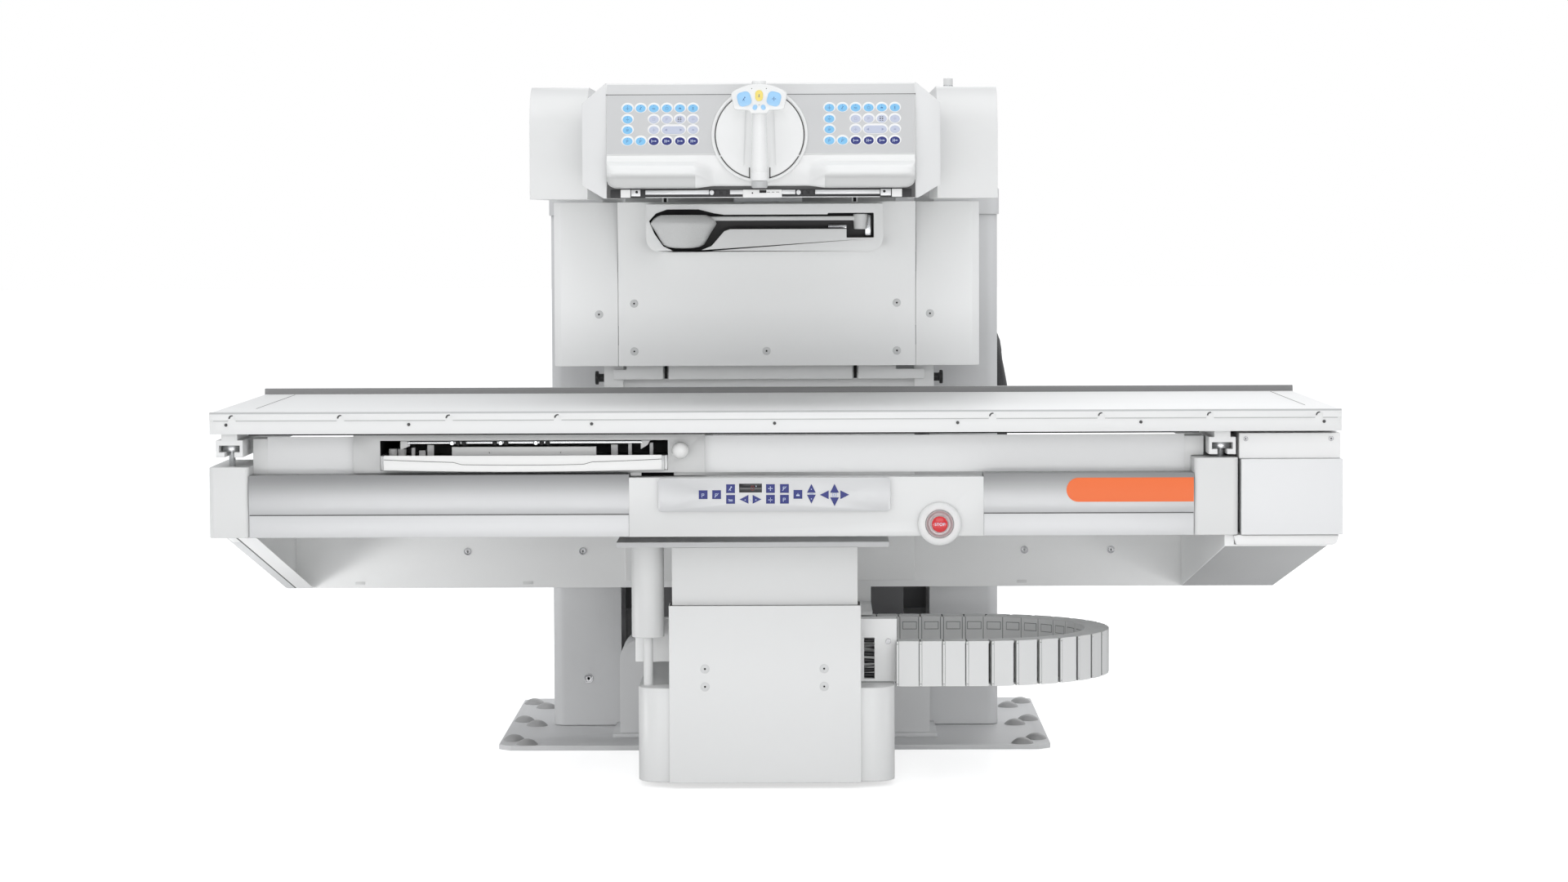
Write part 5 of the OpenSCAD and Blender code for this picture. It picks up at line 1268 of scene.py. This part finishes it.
cut(cone_plate, [drop], cone_front - 0.01, cone_front + recess_deep)
round_edges(cone_plate, 0.0016, 3)
cone_plate.data.materials.append(tower_white)


def in_recess(face):
    """Whether a face is a wall or the floor of the drop-shaped recess."""
    c = face.center
    wall = c.y > cone_front + 0.004 and abs(face.normal.y) < 0.99
    near_drop = drop[0][0] - 0.001 < c.x < 0.206 and 1.012 < c.z < 1.0995
    inside = cone_low[0] + 0.004 < c.x < cone_high[0] - 0.004
    return wall and near_drop and inside or abs(c.y - cone_front - recess_deep) < 0.0006


# Painted shade: the recess's walls and floor are near-black, for the shadow that fills it.
repaint(cone_plate, recess_shade, in_recess)
settle(cone_plate, "cone_plate_cover", "head", None)
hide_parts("cone_plate")

bowl_white = plastic("bowl_white", (0.79, 0.795, 0.79), 0.22)
bowl_low, bowl_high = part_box("compression_cone")
top, low, bowl_r = bowl_high[2], bowl_low[2], 0.067
bowl_x, bowl_y = bowl_low[0] + bowl_r, (bowl_low[1] + bowl_high[1]) / 2
hinge_x = bowl_high[0] - 0.015
profile = [(0.0, top - 0.004), (0.034, top - 0.003), (0.046, top - 0.001), (0.054, top - 0.004),
           (0.061, top - 0.009), (0.0662, top - 0.015), (bowl_r, top - 0.019),
           (0.0655, top - 0.023), (0.0600, top - 0.031), (0.0545, top - 0.040),
           (0.0490, top - 0.050), (0.0420, low + 0.008), (0.0330, low + 0.0030),
           (0.0200, low + 0.0007), (0.0, low)]
bowl = turned("cone_bowl", profile, (bowl_x, bowl_y, 0), UPWARD, "cone", bowl_white,
              steps=72, sharp=60)
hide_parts("compression_cone")
arm_z = top - 0.014
plate("cone_arm", [rect(bowl_x + 0.050, hinge_x - 0.010, bowl_y - 0.009, bowl_y + 0.009)],
      on_top(arm_z + 0.001), 0.0085, "cone", bowl_white, 0.0012)
turned("cone_hub", [(0.0, -0.017), (0.0118, -0.017), (0.0132, -0.0155), (0.0138, -0.002),
                    (0.0150, 0.0), (0.0150, 0.0125), (0.0140, 0.0138), (0.0, 0.0138)],
       (hinge_x, bowl_y, arm_z), UPWARD, "cone", bowl_white, steps=40)
plate("hinge_lugs", [rect(0.188, 0.200, 1.044, 1.086), rect(0.113, 0.150, 1.0585, 1.066)],
      on_front(cone_front + 0.028), 0.006, "head", rail_steel, 0.0006)

# ---- Detector head ----
# The housing over the patient has two moulded end shells, a lower front moulding with
# a grab ledge at each side, and a grey keypad foil under a lighter strip at the top.

foil_grey = skin("foil_grey", (0.585, 0.59, 0.592), 0.34, grain=1300, depth=0.05, drift=0.02)
band_grey = skin("band_grey", (0.66, 0.665, 0.665), 0.30, grain=1300, depth=0.05, drift=0.02)
head_white = plastic("head_white", (0.82, 0.825, 0.82), 0.24, depth=0.05)
shell_white = plastic("shell_white", (0.74, 0.745, 0.745), 0.30, depth=0.06)
detector_black = skin("detector_black", (0.022, 0.022, 0.024), 0.40, grain=900, depth=0.05,
                      drift=0.03)
finish_node("detector_housing", head_white, 0.0045, 4)
finish_node("flat_detector", detector_black, 0.0006)
finish_node("control_fascia", head_white, 0.0025, 3)
fascia_low, fascia_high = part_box("control_fascia")
housing_low, housing_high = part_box("detector_housing")
fascia_fold_z, fascia_lean = 1.200, 0.020
foot = Vector((0, fascia_low[1], fascia_fold_z))
lean = math.atan2(fascia_lean, fascia_high[2] - foot.z)
up = Vector((0, math.sin(lean), math.cos(lean)))
out = Vector((0, -math.cos(lean), math.sin(lean)))


def on_fascia(u, v, w):
    """A place on the head's leaning front: across, up the slope, and out from it."""
    return Vector((u, foot.y, foot.z)) + up * v + out * w


foil_left, foil_right = fascia_low[0] + 0.0008, fascia_high[0] - 0.0008
for name, finish, v0, v1, thick in (("keypad_foil", foil_grey, 0.001, 0.1125, 0.0004),
                                    ("head_top_strip", band_grey, 0.1135, 0.1325, 0.0012)):
    plate(name, [rect(foil_left, foil_right, v0, v1)], on_fascia, thick, "head", finish,
          thick / 3)
plate("head_top_seam", [rect(foil_left - 0.002, foil_right + 0.002, 0.1122, 0.1138)],
      on_fascia, 0.0003, "head", joint_and_shade_dark)

shell_y, shell_long = housing_low[1] - 0.0006, 0.700
shell_foot, shell_top = 1.1190, 1.3336
for name, side, inner, edge in (
        ("head_end_left", -1, foil_left - 0.0016, housing_low[0] - 0.0006),
        ("head_end_right", 1, foil_right + 0.0016, housing_high[0] + 0.0006)):
    outline = [(inner, shell_foot), (inner + side * 0.0060, shell_foot), (edge, 1.1430),
               (edge, 1.2960), (inner + side * 0.0010, shell_top), (inner, shell_top)]
    plate(name, [outline[::side]], on_front(shell_y + shell_long), shell_long, "head",
          shell_white, 0.0050)
section_top = 1.1985
plate("head_shadow", [rect(foil_left - 0.001, foil_right + 0.001, 1.1192, section_top)],
      on_front(shell_y), 0.0008, "head", joint_and_shade_dark)

# The moulding's section is a loop of (y, z): one between the ledges, one through them.
# It goes over from one to the other along x, and rises at its rounded ends.
moulding_y, section_tall = housing_low[1] - 0.0016, 0.0613
plain = [(-0.0200, 1.1985), (-0.0202, 1.1920), (-0.0200, 1.1850), (-0.0195, 1.1800),
         (-0.0188, 1.1750), (-0.0178, 1.1700), (-0.0164, 1.1640), (-0.0148, 1.1590),
         (-0.0132, 1.1550), (-0.0117, 1.1515), (-0.0104, 1.1485), (-0.0092, 1.1460),
         (-0.0080, 1.1440), (-0.0066, 1.1425), (-0.0050, 1.1415), (-0.0030, 1.1410)]
ledge = [(-0.0200, 1.1985), (-0.0202, 1.1920), (-0.0210, 1.1868), (-0.0250, 1.1842),
         (-0.0340, 1.1822), (-0.0420, 1.1800), (-0.0455, 1.1770), (-0.0465, 1.1720),
         (-0.0462, 1.1665), (-0.0445, 1.1630), (-0.0405, 1.1608), (-0.0350, 1.1585),
         (-0.0325, 1.1530), (-0.0330, 1.1450), (-0.0300, 1.1395), (-0.0220, 1.1372)]
ends, ledge_ends = (foil_left - 0.0005, foil_right + 0.0005), (-0.1300, 0.1000)
pieces = ((ends[0], 10), (ends[0] + 0.024, 8),
          (ledge_ends[0] - 0.012, 16), (ledge_ends[0] + 0.030, 8),
          (ledge_ends[1] - 0.030, 16), (ledge_ends[1] + 0.012, 8),
          (ends[1] - 0.024, 11), (ends[1], 0))
stations = [a + (b - a) * i / count for (a, count), (b, _) in zip(pieces, pieces[1:])
            for i in range(count)] + [ends[1]]
bm = bmesh.new()
rings = []
for x in stations:
    near = min(abs(x - ledge_ends[0] - 0.009), abs(x - ledge_ends[1] + 0.009))
    inside = ledge_ends[0] + 0.009 < x < ledge_ends[1] - 0.009
    t = min(1.0, max(0.0, 0.5 + (-near if inside else near) / 0.042))
    share = t * t * (3 - 2 * t)
    corner = max(0.0, 1 - min(x - ends[0], ends[1] - x) / 0.0200)
    turn_in = 1 - math.sqrt(max(0.0, 1 - corner ** 2))
    ring = []
    for (py, pz), (ly, lz) in zip(plain, ledge):
        y, z = py + (ly - py) * share, pz + (lz - pz) * share
        y, z = (y + 0.55 * max(0.0, -y - 0.0200) * turn_in,
                z + 0.0160 * turn_in * (section_top - z) / section_tall)
        ring.append(bm.verts.new((x, moulding_y + y, z)))
    ring += [bm.verts.new((x, moulding_y + 0.0012, z)) for z in (ring[-1].co.z, section_top)]
    rings.append(ring)
join_rows(bm, rings, closed=True)
bm.faces.new(rings[0][::-1])
bm.faces.new(rings[-1])
bmesh.ops.recalc_face_normals(bm, faces=bm.faces)
moulding = made_of(bm, "head_moulding")
smooth(moulding, 45)
# Painted shade: on the ledges the lower, concave part is a darker white, lifted to full white above
# 1.164 m. Between the ledges the plain head white is used.
ledge_shade_white = plastic("ledge_shade_white", (0.58, 0.585, 0.58), 0.24, depth=0.05)
shade_up(ledge_shade_white, 1.156, 1.164, 1.42)
settle(moulding, "head_moulding", "head", ledge_shade_white)
repaint(moulding, head_white, lambda face: -0.138 < face.center.x < 0.105)
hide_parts("grips")

# ---- Keypads ----
# Two fields of soft oval keys stand out of the foil, in light blue, pale lavender and
# navy. Each key is printed with a small sign for one movement or exposure.

key_blue = skin("key_blue", (0.22, 0.53, 0.82), 0.34, grain=1200, depth=0.05, drift=0.02)
rim_highlight = skin("key_rim_highlight", (0.86, 0.86, 0.86), 0.16, grain=1200, depth=0.02, drift=0.0, coat=0.4)
key_pale = skin("key_pale", (0.52, 0.56, 0.68), 0.34, grain=1200, depth=0.05, drift=0.02)
ink_blue = print_ink("ink_blue", (0.05, 0.13, 0.36))
ink_pale = print_ink("ink_pale", (0.30, 0.34, 0.50))
ink_black = print_ink("ink_black", (0.02, 0.02, 0.03))
key_pitch, key_half = 0.0244, (0.0094, 0.0075)
key_lines = (0.087, 0.066, 0.046, 0.025)
key_signs = ("four_ways", "figure", "lying", "frame", "lungs", "lamp", "inward", "lines", "flag",
             "struck_flag", "tick", "four_ways")
# Rings of a key's side and top: how much wider than the key, and how high
key_dome = ((0.0, 0.0012), (-0.0003, 0.0017), (-0.0010, 0.0021), (-0.0022, 0.0023),
            (-0.0040, 0.0024))
rim_highlight_dome = ((0.0024, 0.0003), (0.0018, 0.0010), (0.0010, 0.0014), (0.0002, 0.0015),
                (-0.0008, 0.0015))


def oval_key(bm, u, v, half, dome):
    """An oval with a domed top: rings, each a little smaller and higher than the last."""
    flat = max(0.0, half[0] - key_half[0])
    angles = [2 * math.pi * (i + 0.5) / 24 for i in range(24)]
    rings = []
    for grow_by, lift in dome:
        w, h = half[0] - flat + grow_by, half[1] + grow_by
        rings.append([bm.verts.new(on_fascia(u + math.copysign(flat, math.cos(a)) + w * math.cos(a),
                                             v + h * math.sin(a), lift)) for a in angles])
    join_rows(bm, rings, closed=True)
    bm.faces.new(rings[-1])
    bm.faces.new(rings[0][::-1])


def key_group(name, keys, finish, dome=key_dome, shift=0.0):
    """All keys of one colour, as one piece."""
    bm = bmesh.new()
    for u, v, half in keys:
        oval_key(bm, u, v + shift, half, dome)
    bmesh.ops.recalc_face_normals(bm, faces=bm.faces)
    piece = made_of(bm, name)
    smooth(piece, 50)
    settle(piece, name, "head", finish)
    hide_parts("keypad_keys")


fields = (-0.263, 0.113)
blue_keys = [(c, 0) for c in range(6)] + [(0, 1), (0, 2), (0, 3), (1, 3)]
pale_keys = [(2, 1), (3, 1), (4, 1), (5, 1), (2, 2), (5, 2)]
navy_keys = [(c, 3) for c in range(2, 6)]
wide_half = (key_half[0] + key_pitch / 2, key_half[1])
blues, pales, navies = [], [], []
for x0 in fields:
    for group, places in ((blues, blue_keys), (pales, pale_keys), (navies, navy_keys)):
        group += [(x0 + c * key_pitch, key_lines[r], key_half) for c, r in places]
    pales.append((x0 + 3.5 * key_pitch, key_lines[2], wide_half))
# Painted highlight: a near-white glossy dome of the foil, set a little higher than each key, shows
# as a bright rim above it.
key_group("key_rim_highlights", blues + pales + navies, rim_highlight, rim_highlight_dome, 0.0013)
key_group("keys_blue", blues, key_blue)
key_group("keys_pale", pales, key_pale)
key_group("keys_navy", navies, key_navy)


def over_fascia(rise):
    """Places on what stands out of the head's front by a rise."""
    return lambda u, v, w: on_fascia(u, v, rise + w)


marks = {"blue": [], "pale": [], "navy": [], "black": []}
for x0 in fields:
    for number, (c, r) in enumerate(blue_keys):
        u, v = x0 + c * key_pitch, key_lines[r]
        marks["blue"] += sign(key_signs[number], u, v - 0.0004, 0.0036)
        marks["blue"].append(ring_of(u, v + 0.0048, 0.0006, 8))
    for number, (c, r) in enumerate(pale_keys):
        if (c, r) != (4, 1):
            marks["pale"] += sign(key_signs[(number * 5 + 3) % 12], x0 + c * key_pitch,
                                  key_lines[r], 0.0034)
    marks["pale"] += [arrow_of(x0 + 3 * key_pitch - 0.002, key_lines[2], 0.005, 90),
                      arrow_of(x0 + 4 * key_pitch + 0.002, key_lines[2], 0.005, -90)]
    # A square of dots, some of them left out
    for row in range(6):
        for column in range(6):
            if (row * 7 + column * 5 + row * column) % 3 != 1:
                u = x0 + 4 * key_pitch - 0.0042 + column * 0.0014
                v = key_lines[1] - 0.0035 + row * 0.0014
                marks["black"].append(bar_of(u, v, u + 0.0012, v, 0.0012))
    for number, (c, r) in enumerate(navy_keys):
        u, v = x0 + c * key_pitch, key_lines[r]
        marks["navy"] += [bar_of(u - 0.0046, v, u + 0.003, v, 0.0010),
                          arrow_of(u + 0.0040, v, 0.0030, -90)]
        for shift in (-0.0040, -0.0010)[:1 + number % 2]:
            marks["navy"].append(bar_of(u + shift, v - 0.0030, u + shift, v + 0.0030, 0.0008))
for paint, finish, slot in (("blue", ink_blue, "navy_key"), ("pale", ink_pale, "navy_key"),
                            ("navy", print_white, "white_plastic"),
                            ("black", ink_black, "dark_paint")):
    plate("key_marks_" + paint, marks[paint], over_fascia(0.00245), 0, "head", finish)

# ---- Steering handle ----
# A white joystick tilts on a pin under its round plate. Its fan-shaped head carries
# two light-blue thumb buttons, a yellow exposure button and a small rocker key.

disc_u, disc_v, disc_r = -0.017, 0.036, 0.090
disc_at = on_fascia(disc_u, disc_v, 0)
dish = turned("handle_dish",
              [(0.0, 0.0), (disc_r, 0.0), (disc_r, 0.0040), (disc_r - 0.0012, 0.0058),
               (disc_r - 0.0030, 0.0062), (disc_r - 0.0050, 0.0052), (disc_r - 0.0062, 0.0026),
               (disc_r - 0.0064, 0.0010), (disc_r - 0.0082, 0.0010), (disc_r - 0.0086, 0.0042),
               (disc_r - 0.0105, 0.0050), (0.060, 0.0036), (0.030, 0.0026), (0.0, 0.0024)],
              disc_at, out, "head", head_white, steps=96)
repaint(dish, joint_and_shade_dark, lambda face: (
    disc_r - 0.0090 < (face.center - disc_at).cross(out).length < disc_r - 0.0060
    and (face.center - disc_at).dot(out) < 0.0016))
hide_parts("handle_bezel")

# A shallow trough runs down the dish behind the stick; a dark bar at each side of its foot stands
# for a slit, as painted shade in the opening
on_dish = over_fascia(0.0022)
plate("dish_trough", [bar_of(disc_u + side * 0.030, disc_v - 0.058, disc_u + side * 0.026,
                             disc_v + 0.052, 0.0014) for side in (-1, 1)],
      on_dish, 0.0030, "head", shell_white)
plate("dish_slit_shades", [bar_of(disc_u + side * 0.0190, disc_v - 0.081, disc_u + side * 0.0190,
                            disc_v - 0.062, 0.0020) for side in (-1, 1)],
      on_dish, 0.0034, "head", joint_and_shade_dark)
stick_low, stick_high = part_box("handle_grip")
fan_depth = stick_high[1] - stick_low[1]
stick_y, pivot_z = -1.103, 1.156
boss_y, pin_y = -1.0570, -1.0610
turned("handle_boss", peg_of(0.0175, 0.0315, 0.0010, 0.0015),
       (disc_u, boss_y, pivot_z), TO_FRONT, "head", head_white, steps=48)
turned("handle_pin", peg_of(0.0055, 0.0548, 0.0007, 0.0008),
       (disc_u, pin_y, pivot_z), TO_FRONT, "head", rail_steel, steps=24)
handle_white = plastic("handle_white", (0.82, 0.825, 0.82), 0.20, coat=0.2)
handle_grey = plastic("handle_grey", (0.50, 0.505, 0.51), 0.30, depth=0.04)


def on_stick(rise):
    """Places over the back of the fan by a rise: across, height, and out from it."""
    return lambda u, v, w: Vector((disc_u + u, stick_high[1] - rise - w, v))


fan_outline = [*arc_of(0, 1.240, 0.0890, 55, 125, 16), (-0.0515, 1.3060), (-0.0470, 1.2890),
               *arc_of(-0.0410, 1.2880, 0.0065, 200, 270, 4), (-0.0180, 1.2800), (-0.0150, 1.2740),
               (0.0150, 1.2740), (0.0180, 1.2800), *arc_of(0.0410, 1.2880, 0.0065, 270, 340, 4),
               (0.0470, 1.2890), (0.0515, 1.3060)]
fan = plate("handle_fan", [fan_outline], on_stick(0.010), fan_depth - 0.010, "handle",
            handle_white, 0.0045)
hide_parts("handle_grip")
turned("handle_stem", [(0.0, 1.1505), (0.0150, 1.1505), (0.0157, 1.1512), (0.0158, 1.1650),
                       (0.0153, 1.1655), (0.0153, 1.1664), (0.0157, 1.1670), (0.0154, 1.1800),
                       (0.0146, 1.2100), (0.0138, 1.2500), (0.0136, 1.2700), (0.0136, 1.3330),
                       (0.0125, 1.3348), (0.0, 1.3350)],
       (disc_u, stick_y, 0), UPWARD, "handle", handle_white, steps=48)
turned("handle_foot", [(0.0, 1.1368), (0.0125, 1.1368), (0.0142, 1.1380), (0.0150, 1.1405),
                       (0.0152, 1.1500), (0.0, 1.1500)],
       (disc_u, stick_y, 0), UPWARD, "handle", handle_grey, steps=48)


def round_box(cx, cy, w, h, r, turn=0.0):
    """An outline with round corners, turned by so many degrees."""
    points = []
    for sx, sy, start in ((1, 1, 0), (-1, 1, 90), (-1, -1, 180), (1, -1, 270)):
        points += arc_of(sx * (w / 2 - r), sy * (h / 2 - r), r, start, start + 90, 5)
    return turned_by(points, turn, cx, cy)


# Soft buttons let into the fan, each with a domed top
button_blue = skin("button_blue", (0.33, 0.60, 0.88), 0.26, grain=1200, depth=0.04, drift=0.02,
                   coat=0.2)
button_yellow = skin("button_yellow", (0.86, 0.70, 0.17), 0.24, grain=1200, depth=0.04, drift=0.02,
                     coat=0.2)
thumb_size, rocker_size = (0.0250, 0.0265, 0.0085), (0.0082, 0.0100, 0.0040)
for name, outline, rise, body, finish, slot, node in (
        ("thumb_button_left", round_box(-0.0275, 1.3010, *thumb_size, 14), 0.0022,
         "left_button", button_blue, "blue_keys", "button_left"),
        ("thumb_button_right", round_box(0.0275, 1.3010, *thumb_size, -14), 0.0022,
         "right_button", button_blue, "blue_keys", "button_right"),
        ("exposure_button", round_box(0.0, 1.3070, 0.0145, 0.0205, 0.0070), 0.0022,
         "middle_button", button_yellow, "yellow_key", "button_yellow"),
        ("rocker_left", round_box(-0.0077, 1.2855, *rocker_size, -25), 0.0016,
         "rocker", button_blue, "navy_key", "rocker_key"),
        ("rocker_right", round_box(0.0077, 1.2855, *rocker_size, 25), 0.0016,
         "rocker", button_blue, "navy_key", "rocker_key")):
    pad = plate(name, [outline], on_stick(fan_depth - 0.004), 0.004 + rise, body, finish,
                0.0012)
    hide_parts(node)
for name, kind, u, v, size in (("left", "figure", -0.0275, 1.3010, 0.0046),
                               ("right", "four_ways", 0.0275, 1.3010, 0.0046),
                               ("middle", "lamp", 0.0, 1.3070, 0.0036)):
    plate("thumb_sign_" + name, sign(kind, u, v, size), on_stick(fan_depth + 0.0024), 0,
          name + "_button", ink_blue)
plate("fan_dots", [ring_of(-0.0135, 1.3200, 0.0009, 10), ring_of(0.0135, 1.3200, 0.0009, 10)]
      + sign("tick", 0.0, 1.2900, 0.0022), on_stick(fan_depth + 0.0002), 0, "handle", ink_black)

# ---- Film rails under the head ----
# A silver rail runs under the head's front edge to carry film and grid holders. It
# has white end blocks, two groups of rollers and the holders' lock in the middle.

rail_front = housing_low[1] - 0.0040
rail_dull = skin("rail_dull", (0.60, 0.605, 0.61), 0.32, grain=1500, depth=0.10, drift=0.10,
                 metallic=0.8)
roller_black = plastic("roller_black", (0.020, 0.020, 0.022), 0.35, depth=0.04)


def bars(name, spans, low, high, depth, finish, rise=0.0, rim=0.0006):
    """Straight bars along the rail, from x to x, between two heights."""
    plate(name, [rect(a, b, low, high) for a, b in spans], on_front(rail_front - rise), depth,
          "head", finish, rim)


bars("rail_channel", [(-0.2960, 0.2660)], 1.1195, 1.1350, 0.001, roller_black,
     -0.0022)
bars("rail_strip", [(-0.2310, -0.1120), (-0.0730, 0.0490), (0.0860, 0.2070)], 1.1256, 1.1338,
     0.0020, rail_dull, -0.0005)
bars("rail_lip", [(-0.2310, 0.2070)], 1.1195, 1.1212, 0.0030, rail_dull,
     -0.0005, 0.0004)
bars("rail_end_blocks", [(-0.2770, -0.2585), (0.2290, 0.2480)], 1.1200, 1.1352, 0.0050, lid_white,
     rim=0.0010)
bars("rail_brackets", [(-0.2575, -0.2400), (0.2080, 0.2275)], 1.1225, 1.1350, 0.0030, rail_dull)
# Painted shade: the brackets' holes are black discs on their face.
plate("bracket_hole_shades", [ring_of(x, 1.1305, 0.0026, 16) for x in (-0.2470, 0.2150)],
      on_front(rail_front - 0.0031), 0, "head", hole_black)
bars("rail_lock", [(-0.0490, 0.0240)], 1.1192, 1.1345, 0.0060, lid_white,
     rim=0.0016)
plate("lock_marks", [rect(-0.0180, -0.0050, 1.1282, 1.1334), rect(-0.0040, 0.0020, 1.1292, 1.1300),
                     rect(0.0050, 0.0100, 1.1292, 1.1300), rect(0.0130, 0.0190, 1.1292, 1.1300),
                     ring_of(-0.0310, 1.1280, 0.0014, 12)],
      on_front(rail_front - 0.0061), 0, "head", hole_black)
film_roller_z = 1.1290
for number, x in enumerate((-0.1070, -0.0960, -0.0830, 0.0550, 0.0665, 0.0790)):
    finish, slot = (roller_black, "dark_paint") if number % 3 else (rail_dull, "silver_aluminium")
    turned(f"film_roller_{number}", peg_of(0.0046, 0.0036, 0.0006, 0.0006),
           (x, rail_front - 0.0004, film_roller_z), TO_FRONT, "head", finish, steps=24)
latch_place = (0.3440, -0.7500, 1.3325)
turned("ear_latch", [(0.0, 0.0), (0.0098, 0.0), (0.0098, 0.0030), (0.0086, 0.0038),
                     (0.0086, 0.0110), (0.0080, 0.0142), (0.0062, 0.0162), (0.0030, 0.0170),
                     (0.0, 0.0171)],
       latch_place, UPWARD, "head", rail_steel, steps=40)
